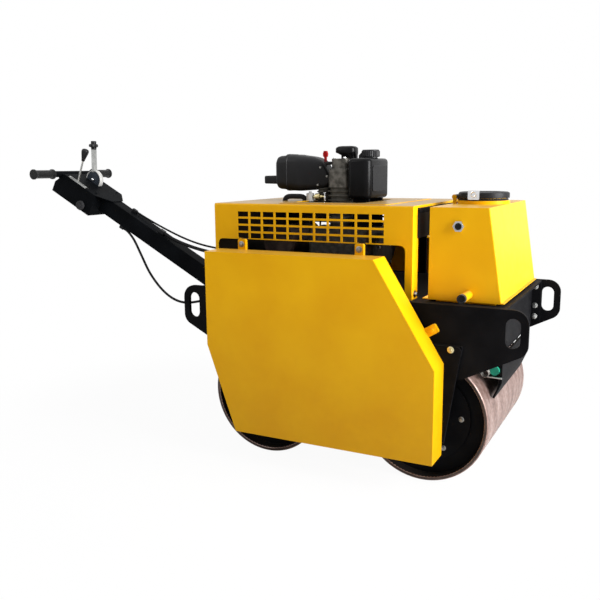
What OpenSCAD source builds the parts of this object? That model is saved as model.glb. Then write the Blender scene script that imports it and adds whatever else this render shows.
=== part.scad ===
// Walk-behind double-drum vibratory roller: two steel drums hung from plate hangers, a folded hood over
// an air-cooled engine, a water tank in front, folded drive covers and a pivoted tiller with its controls.
// Millimetres, +X ahead towards the water tank, +Y to the machine's left, +Z up, ground at zero.
// Each piece is one module, and node picks the piece that is drawn.

/* [Drums] */
// outside diameter of a drum
drum_d = 425; // [300:5:600]
// length of a drum along its axle
drum_w = 600; // [450:10:900]
// thickness of the rolled shell
shell_t = 14; // [8:1:25]
// distance between the two axles
wheelbase = 580; // [480:10:900]
// how far an end disc sits inside the rim
disc_recess = 40; // [20:1:80]
// thickness of an end disc
disc_t = 12; // [6:1:20]
// outside radius of the bearing hub
hub_r = 62; // [50:1:90]
// length of the hub inside the disc
hub_l = 55; // [30:1:90]
// radius of the bolted hub plate
hub_plate_r = 150; // [100:1:180]
// thickness of the bolted hub plate
hub_plate_t = 10; // [6:1:16]
// diameter of the stub axle
axle_d = 56; // [40:1:80]
// radius of the flange on the stub axle
axle_flange_r = 62; // [50:1:90]
// thickness of the flange on the stub axle
axle_flange_t = 12; // [8:1:20]
// radial play of a running fit
run_fit = 0.05; // [0.02:0.01:0.2]

/* [Frame] */
// gap between a drum's end and the side plate
drum_side_gap = 19; // [8:1:40]
// thickness of the side plates
plate_t = 12; // [6:1:20]
// height of the side plate's top edge over the drums
frame_rise = 172; // [120:1:300]
// height of the side plate
frame_h = 232; // [180:1:300]
// reach of a lifting ear past the cross plate
ear_out = 101; // [80:1:160]
// height of an ear's outer edge
ear_h = 132; // [110:1:170]
// where the sloping lower edge starts, in from the cross plate
slope_in = 95; // [40:1:140]
// radius of an ear's top corner
ear_round = 45; // [20:1:60]
// width of the lifting slot
ear_slot_w = 44; // [30:1:60]
// height of the lifting slot
ear_slot_h = 92; // [60:1:120]
// slot centre in from the ear's end
ear_slot_in = 45; // [35:1:80]
// slot centre below the top edge
ear_slot_drop = 72; // [55:1:100]
// thickness of cross plates and bed plate
cross_t = 12; // [6:1:20]
// from a drum's front line to the outer face of the cross plate
cross_gap = 12.5; // [8:0.5:60]
// height of a cross plate
cross_h = 170; // [120:1:200]
// width of the lip folded round a cross plate
cross_lip = 32; // [20:1:50]
// step from the side plate's top down to the bed
bed_drop = 2; // [0:1:20]

/* [Hangers] */
// thickness of a drum hanger
hanger_t = 10; // [6:1:20]
// how far a hanger laps the side plate
hanger_lap = 105; // [60:1:180]
// reach of a hanger's foot below the axle
hanger_drop = 94.5; // [70:0.5:110]
// half width of a hanger at its top
hanger_top_half = 133; // [100:1:180]
// half width of a hanger at its foot
hanger_low_half = 78; // [60:1:120]

/* [Drive covers] */
// sheet thickness of hood, covers and tank
sheet = 3; // [1.5:0.5:6]
// depth of a cover
cover_depth = 100; // [60:1:160]
// height of a cover's top edge over the side plate
cover_rise = 142; // [80:1:220]
// height of a cover's upright front edge
cover_shoulder_h = 299; // [240:1:360]
// reach of a cover's lower edge below the axles
cover_drop = 97.5; // [70:0.5:130]
// reach of a cover's top corner behind the rear axle
cover_rear_out = 153; // [100:1:200]
// front end of a cover's top edge, back from the front axle
cover_top_in = 121; // [40:1:180]
// reach of a cover's front edge past the front axle
cover_front_out = 78; // [30:1:120]
// reach of a cover's foot behind the rear axle
cover_foot_out = 45; // [10:1:100]
// play between a cover and the hangers
cover_play = 1; // [0.5:0.5:4]
// width of a bolting tab
tab_w = 30; // [25:1:60]
// height of a bolting tab above the cover
tab_h = 36; // [20:1:60]
// rear tab in from the cover's rear corner
tab_rear_in = 89; // [40:1:160]
// front tab in from the front end of the cover's top
tab_front_in = 85; // [40:1:160]
// low tab in from the cover's front edge
tab_low_in = 38; // [5:1:60]
// low tab below the side plate's top edge
tab_low_drop = 79; // [40:1:120]

/* [Hood] */
// hood's rear face in from the cross plate
hood_rear_in = 17; // [13:1:60]
// gap between the hood and the water tank
hood_tank_gap = 53; // [20:1:90]
// hood's side in from the side plate
hood_in = 29; // [1:1:80]
// height of the hood
hood_h = 299; // [240:1:380]
// outside radius of the hood's bends
hood_bend = 7; // [4:1:20]
// width of the flange at the hood's front
hood_flange = 55; // [30:1:90]
// length of a grille slot
grille_w = 43; // [20:1:45]
// height of a grille slot
grille_h = 18; // [6:1:20]
// distance between slots along the hood
grille_step_x = 50.5; // [46:0.5:60]
// distance between rows of slots
grille_step_z = 25; // [18:0.5:30]
// start of the first slot from the hood's rear face
grille_in = 96; // [30:1:140]
// top of the first row below the hood's top
grille_drop = 28; // [15:1:60]
// slots in a row
grille_cols = 11; // [6:1:12]
// rows of slots
grille_rows = 4; // [2:1:4]
// rear end of the side cut-out in from the hood's rear
cutout_rear_in = 11; // [5:1:60]
// front end of the side cut-out in from the hood's front
cutout_front_in = 24; // [10:1:80]
// height of the side cut-out
cutout_h = 174; // [100:1:180]
// corner radius of the cut-outs
cutout_round = 20; // [5:1:40]
// rear end of the engine opening
open_rear = 240; // [180:1:300]
// front end of the engine opening
open_front = 127; // [60:1:180]
// side of the engine opening in from the hood's side
open_in = 55; // [30:1:140]

/* [Water tank] */
// length of the tank at its foot
tank_l = 230; // [160:1:280]
// how far the tank's front leans back
tank_lean = 46; // [0:1:80]
// reach of the tank's foot past the cross plate
tank_foot_out = 11; // [0:1:30]
// tank's side in from the side plate
tank_in = 32; // [1:1:80]
// height of the tank
tank_h = 289; // [220:1:380]
// height of the strips under the tank
tank_strip = 8; // [4:1:20]
// centre of the filler neck from the tank's rear face
neck_in = 98; // [92:1:104]
// inside radius of the filler neck
neck_r = 70; // [40:1:75]
// height of the filler neck over the tank
neck_h = 19; // [14:1:30]
// wall of the filler neck
neck_wall = 4; // [2:1:8]
// radius of the lid
lid_r = 84; // [60:1:90]
// thickness of the lid
lid_h = 20; // [10:1:30]
// wall of the lid
lid_wall = 6; // [3:1:10]
// gap under the closed lid
lid_gap = 0.5; // [0.3:0.1:2]
// radius of the lid's hinge pin
lid_pin_r = 4; // [3:0.5:6]
// outside diameter of the outlet pipe
outlet_d = 26.7; // [20:0.1:34]
// length of the outlet pipe
outlet_l = 85; // [50:1:90]
// outlet pipe from the tank's rear face
outlet_along = 128; // [60:1:180]
// outlet pipe above the tank's floor
outlet_up = 23; // [18:1:60]
// radius of the sight plug
plug_r = 18; // [12:1:30]
// sight plug from the tank's rear face
plug_along = 92; // [40:1:140]
// sight plug below the tank's top
plug_drop = 57; // [30:1:140]

/* [Engine] */
// rear face of the crankcase from the middle
case_rear = 215; // [190:1:250]
// front face of the crankcase from the middle
case_front = 25; // [0:1:60]
// half width of the crankcase
case_half = 120; // [90:1:160]
// height of the crankcase over the bed
case_h = 205; // [160:1:240]
// height of the engine rails
rail_h = 12; // [8:1:20]
// centre of the cylinder from the middle
cyl_x = -120; // [-150:1:-100]
// half length of the cylinder's core along the machine
cyl_half = 42; // [34:1:46]
// reach of a cooling fin past the core
fin_out = 8; // [5:1:20]
// thickness of a cooling fin
fin_t = 5; // [3:1:8]
// distance between cooling fins
fin_step = 16; // [10:1:24]
// number of cooling fins
fin_count = 9; // [5:1:10]
// height of the cylinder head over the fins
head_h = 103; // [70:1:120]
// centre of the air cleaner above the hood
filter_up = 105; // [86:1:140]
// height of the air cleaner
filter_h = 134; // [100:1:160]
// half width of the air cleaner
filter_half = 62; // [40:1:80]
// length of the air cleaner ahead of its joint
filter_l = 164; // [120:1:190]
// length of the fuel tank
fuel_len = 88; // [60:1:96]
// half width of the fuel tank
fuel_half = 100; // [70:1:130]
// height of the fuel tank
fuel_h = 142; // [110:1:180]
// corner radius of the fuel tank
fuel_round = 23; // [8:1:30]
// radius of the muffler
muffler_r = 60; // [40:1:80]
// radius of the exhaust pipe
exhaust_r = 16; // [10:1:22]

/* [Tiller] */
// slope of the tiller at rest
tiller_slope = 28.5; // [10:0.5:45]
// pivot of the tiller behind the cross plate
pivot_out = 70; // [55:1:120]
// pivot of the tiller below the side plate's top
pivot_drop = 92; // [60:1:130]
// width of the tiller's box tube
arm_w = 60; // [40:1:80]
// depth of the tiller's box tube
arm_h = 72; // [40:1:90]
// wall of the tiller's box tube
arm_wall = 5; // [3:0.5:8]
// length of the tube from pivot to its end in the console
arm_l = 800; // [600:10:1000]
// diameter of the pivot pin
pivot_d = 25; // [16:1:36]
// thickness of a pivot lug
lug_t = 12; // [8:1:20]
// gap between the tube and a lug
lug_play = 6; // [2:0.5:10]
// gap between the resting tube and its stop
stop_gap = 0.5; // [0.3:0.1:3]
// length of the console
console_l = 228; // [200:1:340]
// how far the tube reaches into the console
console_lap = 28; // [20:1:140]
// length of the console's top past its front, narrowing to the tube
console_taper_l = 57; // [30:1:140]
// half width of the console
console_half = 86; // [70:1:140]
// half width of the top's narrow end
console_nose = 34; // [32:1:80]
// gap between the tube and the console's top
console_up = 0; // [0:1:40]
// console's floor below the tiller's axis
console_down = 62; // [42:1:90]
// gap between the handlebar and the console's slanting rear
bar_out = 1; // [0.5:0.5:30]
// handlebar axis below the console's top
bar_drop = 15; // [0:1:50]
// diameter of the handlebar
bar_d = 27; // [20:1:34]
// half length of the handlebar with its grips
bar_half = 233; // [180:1:300]
// length of a grip
grip_l = 112; // [80:1:150]
// diameter of a grip
grip_d = 35; // [28:1:45]

/* [Cables] */
// diameter of the throttle cable
throttle_cable_d = 8; // [5:0.5:12]
// diameter of the control hose
control_hose_d = 14; // [8:0.5:20]
// diameter of the hanging cable
hanging_cable_d = 10; // [5:0.5:14]

/* [Water and scrapers] */
// angle of the scraper's edge over the axle
scraper_angle = 20; // [10:1:40]
// gap between a scraper and its drum
scraper_gap = 5; // [2:0.5:10]
// end of a scraper in from the drum's end
scraper_in = 80; // [20:1:140]
// thickness of a scraper
scraper_t = 6; // [4:1:10]
// diameter of a sprinkler pipe
spray_d = 25; // [16:1:34]
// sprinkler pipe in from the outer face of the cross plate
spray_in = 15; // [5:1:30]
// sprinkler pipe below the cross plate
spray_drop = 47; // [30:1:70]

/* [Hidden] */
$fn = 64;
over = 2; // overrun of every cut
arc_n = 7; // chords in a rounded corner
drum_r = drum_d / 2;
axle_x = wheelbase / 2;
axle_z = drum_r;
plate_in = drum_w / 2 + drum_side_gap;
plate_out = plate_in + plate_t;
hanger_out = plate_out + hanger_t;
cover_back = hanger_out + cover_play;
cover_face = cover_back + cover_depth;
frame_top = drum_d + frame_rise;
frame_low = frame_top - frame_h;
bed_top = frame_top - bed_drop;
cross_x = axle_x + drum_r + cross_gap;
cross_low = bed_top - cross_h;
bed_x = cross_x - cross_t;
ear_reach = cross_x + ear_out;
ear_low = frame_top - ear_h;
slope_x = cross_x - slope_in;
hanger_top = frame_low + hanger_lap;
hanger_low = axle_z - hanger_drop;
cover_top = frame_top + cover_rise;
cover_low = axle_z - cover_drop;
cover_shoulder = cover_low + cover_shoulder_h;
cover_rear = axle_x + cover_rear_out;
cover_top_front = axle_x - cover_top_in;
cover_front = axle_x + cover_front_out;
cover_rear_foot = axle_x + cover_foot_out;
tab_rear_x = tab_rear_in - cover_rear;
tab_front_x = cover_top_front - tab_front_in;
tab_low_x = cover_front - tab_low_in;
tab_low_z = frame_top - tab_low_drop;
case_top = bed_top + case_h;
fin_top = case_top + fin_step * fin_count;
head_top = fin_top + head_h;
tank_low = bed_top + tank_strip;
tank_top_z = tank_low + tank_h;
tank_low_front = cross_x + tank_foot_out;
tank_top_front = tank_low_front - tank_lean;
tank_rear = tank_low_front - tank_l;
tank_half = plate_in - tank_in;
neck_x = tank_rear + neck_in;
outlet_x = tank_rear + outlet_along;
outlet_z = tank_low + outlet_up;
plug_x = tank_rear + plug_along;
plug_z = tank_top_z - plug_drop;
hood_rear = cross_x - hood_rear_in;
hood_front = tank_rear - hood_tank_gap;
hood_half = plate_in - hood_in;
hood_top = bed_top + hood_h;
grille_x = grille_in - hood_rear;
grille_z = hood_top - grille_drop;
cutout_rear = hood_rear - cutout_rear_in;
cutout_front = hood_front - cutout_front_in;
cutout_top = bed_top + cutout_h;
open_half = hood_half - open_in;
filter_z = hood_top + filter_up;
pivot_x = cross_x + pivot_out;
console_front = arm_l - console_lap;
console_rear = console_front + console_l;
arm_mid = -2; // tube's centre against the pivot
console_top = arm_mid + arm_h / 2 + sheet + console_up;
rear_cut_l = 36; // slanting rear of the console: its length and height
rear_cut_h = 53;
rear_cut = atan2(rear_cut_l, rear_cut_h);
bar_z = console_top - bar_drop;
bar_x = console_rear - rear_cut_l * (1 - bar_drop / rear_cut_h) + (bar_d / 2 + bar_out) / cos(rear_cut);
pivot_z = frame_top - pivot_drop;
scraper_half = drum_w / 2 - scraper_in;
spray_x = cross_x - spray_in;
spray_z = cross_low - spray_drop;
arm_half = arm_w / 2;
lug_in = arm_half + lug_play;
lug_out = lug_in + lug_t;
drum_face = drum_w / 2 - disc_recess;
ear_slot_x = ear_reach - ear_slot_in;
ear_slot_z = frame_top - ear_slot_drop;

// reach of the tiller's far corner, which sets where the middle of the whole roller lies
rear_reach = pivot_x + console_rear * cos(tiller_slope) + console_down * sin(tiller_slope);
shift_x = (rear_reach - ear_reach) / 2;

// routes of the cables, in round numbers from the middle of the wheelbase
throttle_route = [[-1102, 12, 833], [-1068, 13, 815], [-1004, 14, 785], [-930, 10, 756], [-860, 2, 733],
    [-790, -10, 716], [-720, -20, 704], [-640, -28, 696], [-560, -30, 692], [-519, -30, 692]];
hose_route = [[-941, -10, 747], [-905, -12, 729], [-850, -16, 711], [-790, -24, 697], [-720, -36, 686],
    [-640, -50, 678], [-560, -60, 674], [-519, -60, 674]];
hanging_route = [[-1155, -16, 762], [-1128, -18, 746], [-1092, -26, 712], [-1046, -42, 655], [-989, -60, 583],
    [-920, -76, 523], [-850, -90, 488], [-780, -100, 478], [-700, -110, 492], [-610, -120, 514],
    [-560, -122, 520], [-535, -122, 520]];
route_arm_l = 800; // tube length the routes are drawn for; their upper ends go with the tube's end
function tied(route) = [for (i = [0:len(route) - 1]) route[i] + (1 - i / (len(route) - 1))
    * (arm_l - route_arm_l) * [-cos(tiller_slope), 0, sin(tiller_slope)]];
hose_sides = 10;
splits = 3; // rings on each stretch of a route

function unit(v) = v / norm(v);
function turn_of(a) = a > 180 ? a - 360 : a < -180 ? a + 360 : a;
function arc_at(c, r, a, sweep) = [for (i = [0 : arc_n]) let (b = a + sweep * i / arc_n) c + r * [cos(b),
    sin(b)]];
function corner(a, p, b, r) = let (u = unit(a - p), w = unit(b - p), half = acos(u * w) / 2,
    c = p + unit(u + w) * r / sin(half), s = p + u * r / tan(half) - c, e = p + w * r / tan(half) - c,
    start = atan2(s[1], s[0])) arc_at(c, r, start, turn_of(atan2(e[1], e[0]) - start));
function rounded(p, r) = let (n = len(p)) [for (i = [0 : n - 1])
    each r[i] > 0 ? corner(p[(i + n - 1) % n], p[i], p[(i + 1) % n], r[i]) : [p[i]]];
function even(p, r) = rounded(p, [for (q = p) r]);
function box2(x0, y0, x1, y1) = [[x0, y0], [x1, y0], [x1, y1], [x0, y1]];
// moves each side of a counter-clockwise outline in by d
function side_in(a, b, d) = let (u = unit(b - a)) [a + d * [-u[1], u[0]], u];
function meet(l, m) = let (k = l[1][0] * m[1][1] - l[1][1] * m[1][0], q = m[0] - l[0])
    l[0] + l[1] * (q[0] * m[1][1] - q[1] * m[1][0]) / k;
function inset(p, d) = let (n = len(p)) [for (i = [0 : n - 1])
    meet(side_in(p[(i + n - 1) % n], p[i], d), side_in(p[i], p[(i + 1) % n], d))];
// smooth curve through the points of a route
function spline_at(a, b, c, d, t) = (2 * b + (c - a) * t + (2 * a - 5 * b + 4 * c - d) * t * t
    + (3 * b - a - 3 * c + d) * t * t * t) / 2;
function spline(p) = let (n = len(p)) [for (i = [0 : n - 2]) for (k = [0 : splits - 1])
    spline_at(p[max(i - 1, 0)], p[i], p[i + 1], p[min(i + 2, n - 1)], k / splits), p[n - 1]];
function tangent(q, i) = unit(q[min(i + 1, len(q) - 1)] - q[max(i - 1, 0)]);
function ring(q, i, r, n) = let (t = tangent(q, i), w = unit(cross(t, [0, 1, 0])), s = cross(w, t))
    [for (k = [0 : n - 1]) q[i] + r * (cos(360 * k / n) * s + sin(360 * k / n) * w)];

module sit() translate([shift_x, 0, 0]) children();
// an outline drawn ahead and up, made solid from y towards +Y
module wall_y(p, y, t) translate([0, y + t, 0]) rotate([90, 0, 0]) linear_extrude(t) polygon(p);
// an outline drawn across and up, made solid from x towards +X
module wall_x(p, x, l) translate([x, 0, 0]) rotate([90, 0, 90]) linear_extrude(l) polygon(p);
module slab(x0, x1, y0, y1, z0, z1) translate([x0, y0, z0]) cube([x1 - x0, y1 - y0, z1 - z0]);
module rod_y(x, z, r, y0, y1) translate([x, y1, z]) rotate([90, 0, 0]) cylinder(r = r, h = y1 - y0);
module rod_x(y, z, r, x0, x1) translate([x0, y, z]) rotate([0, 90, 0]) cylinder(r = r, h = x1 - x0);
module rod_z(x, y, r, z0, z1) translate([x, y, z0]) cylinder(r = r, h = z1 - z0);
module both_y() { children(); mirror([0, 1, 0]) children(); }
module both_x() { children(); mirror([1, 0, 0]) children(); }
module on_tiller() translate([-pivot_x, 0, pivot_z]) rotate([0, tiller_slope, 0]) children();
module hose(route, d) {
    q = spline(route);
    n = hose_sides;
    m = len(q);
    points = [for (i = [0 : m - 1]) each ring(q, i, d / 2, n)];
    sides = [for (i = [0 : m - 2]) for (k = [0 : n - 1])
        [i * n + k, i * n + (k + 1) % n, (i + 1) * n + (k + 1) % n, (i + 1) * n + k]];
    polyhedron(points, concat(sides, [[for (k = [0 : n - 1]) n - 1 - k]],
        [[for (k = [0 : n - 1]) (m - 1) * n + k]]), convexity = n);
}

// frame
lug_w = 28; // upright lug behind a cover's tab
lug_round = 8;
lug_top = cover_top + tab_h + over;
foot_round = 40;
side_outline = [[ear_reach, ear_low], [ear_reach, frame_top],
    [tab_front_x + lug_w / 2, frame_top], [tab_front_x + lug_w / 2, lug_top],
    [tab_front_x - lug_w / 2, lug_top], [tab_front_x - lug_w / 2, frame_top],
    [tab_rear_x + lug_w / 2, frame_top], [tab_rear_x + lug_w / 2, lug_top],
    [tab_rear_x - lug_w / 2, lug_top], [tab_rear_x - lug_w / 2, frame_top],
    [-ear_reach, frame_top], [-ear_reach, ear_low], [-slope_x, frame_low], [slope_x, frame_low]];
side_rounds = [foot_round, ear_round, 0, lug_round, lug_round, 0, 0, lug_round, lug_round, 0, ear_round,
    foot_round, foot_round, foot_round];
slot_round_share = 0.495;
slot_outline = even(box2(ear_slot_x - ear_slot_w / 2, ear_slot_z - ear_slot_h / 2,
    ear_slot_x + ear_slot_w / 2, ear_slot_z + ear_slot_h / 2), ear_slot_w * slot_round_share);
module side_plate(y) sit() difference() {
    wall_y(rounded(side_outline, side_rounds), y, plate_t);
    both_x() wall_y(slot_outline, y - over, plate_t + 2 * over);
}
module side_plate_right() color("#1a1a1c") side_plate(-plate_out);
module side_plate_left() color("#1a1a1c") side_plate(plate_in);
flange_t = 8;
flange_up = 15; // foot of a side lip over the cross plate's lower edge
flange_low = cross_low + flange_up;
// a cross plate with its lips, drawn for the front
module cross_plate() {
    slab(bed_x, cross_x, -plate_in, plate_in, cross_low, bed_top);
    slab(cross_x - over, cross_x + cross_lip, -plate_in, plate_in, bed_top - flange_t, bed_top);
    both_y() slab(cross_x - over, cross_x + cross_lip, plate_in - flange_t, plate_in, flange_low, bed_top);
}
module front_cross_plate() color("#1a1a1c") sit() cross_plate();
lug_back = 42; // reach of a lug past the pivot
lug_low_share = 0.45;
stop_h = 14;
stop_l = 26;
stop_in = 32; // start of the stop from the pivot along the tiller
lug_outline = [[-cross_x + over, cross_low + over], [-cross_x + over, bed_top - flange_t - over],
    [-pivot_x - lug_back / 2, pivot_z + lug_back], [-pivot_x - lug_back, pivot_z + lug_back * lug_low_share],
    [-pivot_x - lug_back, pivot_z - lug_back], [-pivot_x, cross_low + over]];
lug_rounds = [0, 0, 20, 20, 20, 10];
module rear_cross_plate() color("#1a1a1c") sit() {
    difference() {
        union() {
            mirror([1, 0, 0]) cross_plate();
            both_y() wall_y(rounded(lug_outline, lug_rounds), lug_in, lug_t);
            on_tiller() slab(-stop_in - stop_l, -stop_in, -lug_in - over, lug_in + over,
                arm_mid - arm_h / 2 - stop_gap - stop_h, arm_mid - arm_h / 2 - stop_gap);
        }
        rod_y(-pivot_x, pivot_z, pivot_d / 2 + run_fit, -lug_out - over, lug_out + over);
    }
}
module bed_plate() color("#1a1a1c") sit()
    slab(-bed_x, bed_x, -plate_in, plate_in, bed_top - cross_t, bed_top);
pin_head_r = 19;
pin_head_t = 7;
module tiller_pin() color("#9a9a9a") sit() {
    rod_y(-pivot_x, pivot_z, pivot_d / 2, -lug_out - over, lug_out + over);
    both_y() rod_y(-pivot_x, pivot_z, pin_head_r, lug_out, lug_out + pin_head_t);
}

// drums and what carries them
hanger_outline = [[hanger_low_half, hanger_low], [hanger_top_half, hanger_top], [-hanger_top_half,
    hanger_top],
    [-hanger_low_half, hanger_low]];
hanger_rounds = [50, 15, 15, 50];
module hanger() difference() {
    translate([axle_x, 0, 0]) wall_y(rounded(hanger_outline, hanger_rounds), plate_out, hanger_t);
    rod_y(axle_x, axle_z, axle_d / 2 + run_fit, plate_out - over, hanger_out + over);
}
module drum_hangers() color("#1a1a1c") sit() both_x() both_y() hanger();
axle_in = drum_face - hub_l; // inner end of a stub axle
module axle_stub() {
    rod_y(axle_x, axle_z, axle_d / 2, axle_in, hanger_out + over);
    rod_y(axle_x, axle_z, axle_flange_r, hanger_out, hanger_out + axle_flange_t);
}
module axle_stubs() color("#8a8a8a") sit() both_x() both_y() axle_stub();
rim_chamfer = 3;
hub_proud = hub_plate_t;
drum_half_outline = [[drum_r - rim_chamfer, drum_w / 2], [drum_r - shell_t + rim_chamfer, drum_w / 2],
    [drum_r - shell_t, drum_w / 2 - rim_chamfer], [drum_r - shell_t, drum_face], [hub_r, drum_face],
    [hub_r, drum_face + hub_proud], [axle_d / 2 + run_fit, drum_face + hub_proud],
    [axle_d / 2 + run_fit, axle_in], [hub_r, axle_in], [hub_r, drum_face - disc_t],
    [drum_r - shell_t, drum_face - disc_t]];
function upside(p) = [for (i = [len(p) - 1 : -1 : 0]) [p[i][0], -p[i][1]]];
drum_outline = concat(drum_half_outline, upside(drum_half_outline),
    [[drum_r, rim_chamfer - drum_w / 2], [drum_r, drum_w / 2 - rim_chamfer]]);
module drum() translate([axle_x, 0, axle_z]) rotate([90, 0, 0]) rotate_extrude() polygon(drum_outline);
module front_drum() color("#8d8079") sit() drum();
module rear_drum() color("#8d8079") sit() mirror([1, 0, 0]) drum();
module hub_plates() both_y() difference() {
    rod_y(axle_x, axle_z, hub_plate_r, drum_face, drum_face + hub_plate_t);
    rod_y(axle_x, axle_z, hub_r + run_fit, drum_face - over, drum_face + hub_plate_t + over);
}
module front_hub_plates() color("#1a1a1c") sit() hub_plates();
module rear_hub_plates() color("#1a1a1c") sit() mirror([1, 0, 0]) hub_plates();

// hood
hood_section = concat(
    rounded([[hood_half, bed_top], [hood_half, hood_top], [-hood_half, hood_top], [-hood_half, bed_top]],
        [0, hood_bend, hood_bend, 0]),
    rounded([[sheet - hood_half, bed_top], [sheet - hood_half, hood_top - sheet],
        [hood_half - sheet, hood_top - sheet], [hood_half - sheet, bed_top]],
        [0, hood_bend - sheet, hood_bend - sheet, 0]));
hood_inner = hood_half - sheet;
cutout = rounded([[cutout_front, bed_top - over], [cutout_front, cutout_top], [-cutout_rear, cutout_top],
    [-cutout_rear, bed_top - over]], [0, cutout_round, cutout_round, 0]);
module hood() color("#e0a512") sit() difference() {
    union() {
        wall_x(hood_section, -hood_rear, hood_rear + hood_front);
        slab(-hood_rear, sheet - hood_rear, -hood_inner - over / 2, hood_inner + over / 2, bed_top,
            hood_top - over);
        slab(hood_front - sheet, hood_front, -hood_inner - over / 2, hood_inner + over / 2, bed_top,
            hood_top - over);
    }
    slab(hood_front - hood_bend, hood_front + over, hood_flange - hood_half, hood_half - hood_flange,
        bed_top - over, hood_top - hood_flange);
    translate([0, 0, hood_top - hood_bend]) linear_extrude(hood_bend + over)
        polygon(even(box2(-open_rear, -open_half, open_front, open_half), cutout_round));
    both_y() wall_y(cutout, hood_half - hood_bend, hood_bend + over);
    both_y() for (i = [0 : grille_cols - 1]) for (j = [0 : grille_rows - 1])
        translate([grille_x + i * grille_step_x, hood_inner - over, grille_z - grille_h - j * grille_step_z])
            cube([grille_w, sheet + 2 * over, grille_h]);
}

// drive covers
cover_outline = [[-cover_rear_foot, cover_low], [cover_front, cover_low], [cover_front, cover_shoulder],
    [cover_top_front, cover_top], [-cover_rear, cover_top], [-cover_rear, cover_shoulder]];
tab_round = 6;
module tab(x) wall_y(rounded(box2(x - tab_w / 2, cover_top - sheet, x + tab_w / 2, cover_top + tab_h),
    [0, 0, tab_round, tab_round]), plate_out, cover_back - plate_out + sheet);
// lean of the cover's front edge, and how far the low tab's middle lies out from that edge
slant = atan2(cover_front - cover_top_front, cover_top - cover_shoulder);
low_tab_out = (tab_low_x - cover_front) * cos(slant) + (tab_low_z - cover_shoulder) * sin(slant);
module low_tab() translate([tab_low_x, 0, tab_low_z]) rotate([0, -slant, 0])
    wall_y(rounded(box2(-low_tab_out - 2 * sheet, -tab_w / 2, tab_w / 2, tab_w / 2),
        [0, tab_round, tab_round, 0]), plate_out, cover_back - plate_out + sheet);
module cover() {
    difference() {
        union() {
            wall_y(cover_outline, cover_back, cover_face - cover_back);
            tab(tab_rear_x);
            tab(tab_front_x);
            low_tab();
        }
        wall_y(inset(cover_outline, sheet), plate_out - over, cover_face - sheet - plate_out + over);
    }
}
module cover_left() color("#e0a512") sit() cover();
module cover_right() color("#e0a512") sit() mirror([0, 1, 0]) cover();

// water tank
tank_slope = atan(tank_lean / tank_h);
tank_round = 5; // bend of the tank's front corners
// a bar along the sloping front, as wide as the tank less d on each side
module tank_bar(d) translate([tank_low_front, 0, tank_low]) rotate([0, -tank_slope, 0])
    translate([0, 0, -tank_l]) linear_extrude(tank_h + 2 * tank_l) polygon(rounded(box2(-2 * tank_l,
        d - tank_half,
        -d / cos(tank_slope), tank_half - d), [0, max(0, tank_round - d), max(0, tank_round - d), 0]));
strip_w = 40;
strip_in = 60;
cap_l = 14; // cap on the outlet pipe's end
lip_rear = 18; // floor plate past the rear face
lip_front = 6; // floor plate past the front foot
module tank_body() color("#e0a512") sit() difference() {
    union() {
        intersection() {
            slab(tank_rear, tank_low_front + tank_l, -tank_l - tank_half, tank_l + tank_half, tank_low,
                tank_top_z - sheet);
            tank_bar(0);
        }
        slab(tank_rear - lip_rear, tank_low_front + lip_front, -tank_half, tank_half, tank_low,
            tank_low + sheet);
        both_y() slab(tank_rear + strip_w / 2, bed_x, tank_half - strip_in, tank_half - strip_in + strip_w,
            bed_top, tank_low + sheet / 2);
        rod_y(outlet_x, outlet_z, outlet_d / 2, -tank_half - outlet_l + cap_l, -tank_half + sheet / 2);
    }
    intersection() {
        slab(tank_rear + sheet, tank_low_front + tank_l, -tank_l - tank_half, tank_l + tank_half,
            tank_low + sheet,
            tank_top_z);
        tank_bar(sheet);
    }
    rod_y(outlet_x, outlet_z, outlet_d / 2 - sheet, -tank_half - outlet_l, -tank_half);
}
hinge_out = 9; // hinge pin clear of the lid's edge
hinge_up = 3; // hinge pin over the neck's rim
hinge_x = neck_x - lid_r - hinge_out;
hinge_z = tank_top_z + neck_h + hinge_up;
hinge_half = 26;
hinge_lug_t = 6;
hinge_lug_r = 8;
collar_r = 86; // raised collar under the neck
collar_h = 11;
module tank_top() color("#e0a512") sit() difference() {
    union() {
        intersection() {
            slab(tank_rear, tank_low_front, -tank_l - tank_half, tank_l + tank_half, tank_top_z - sheet,
                tank_top_z);
            tank_bar(0);
        }
        rod_z(neck_x, 0, collar_r, tank_top_z - sheet / 2, tank_top_z + collar_h);
        rod_z(neck_x, 0, neck_r + neck_wall, tank_top_z - sheet / 2, tank_top_z + neck_h);
        both_y() {
            rod_y(hinge_x, hinge_z, hinge_lug_r, hinge_half, hinge_half + hinge_lug_t);
            slab(hinge_x - hinge_lug_r / 2, hinge_x + hinge_lug_r, hinge_half, hinge_half + hinge_lug_t,
                tank_top_z - sheet / 2, hinge_z);
        }
        rod_y(hinge_x, hinge_z, lid_pin_r, -hinge_half - over, hinge_half + over);
    }
    rod_z(neck_x, 0, neck_r, tank_top_z - sheet - over, tank_top_z + neck_h + over);
}
lid_low = tank_top_z + neck_h + lid_gap;
knuckle_play = 1;
knuckle_half = hinge_half - knuckle_play;
strap_z = 5;
strap_share = 0.9; // where the hinge strap ends in the lid
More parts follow.
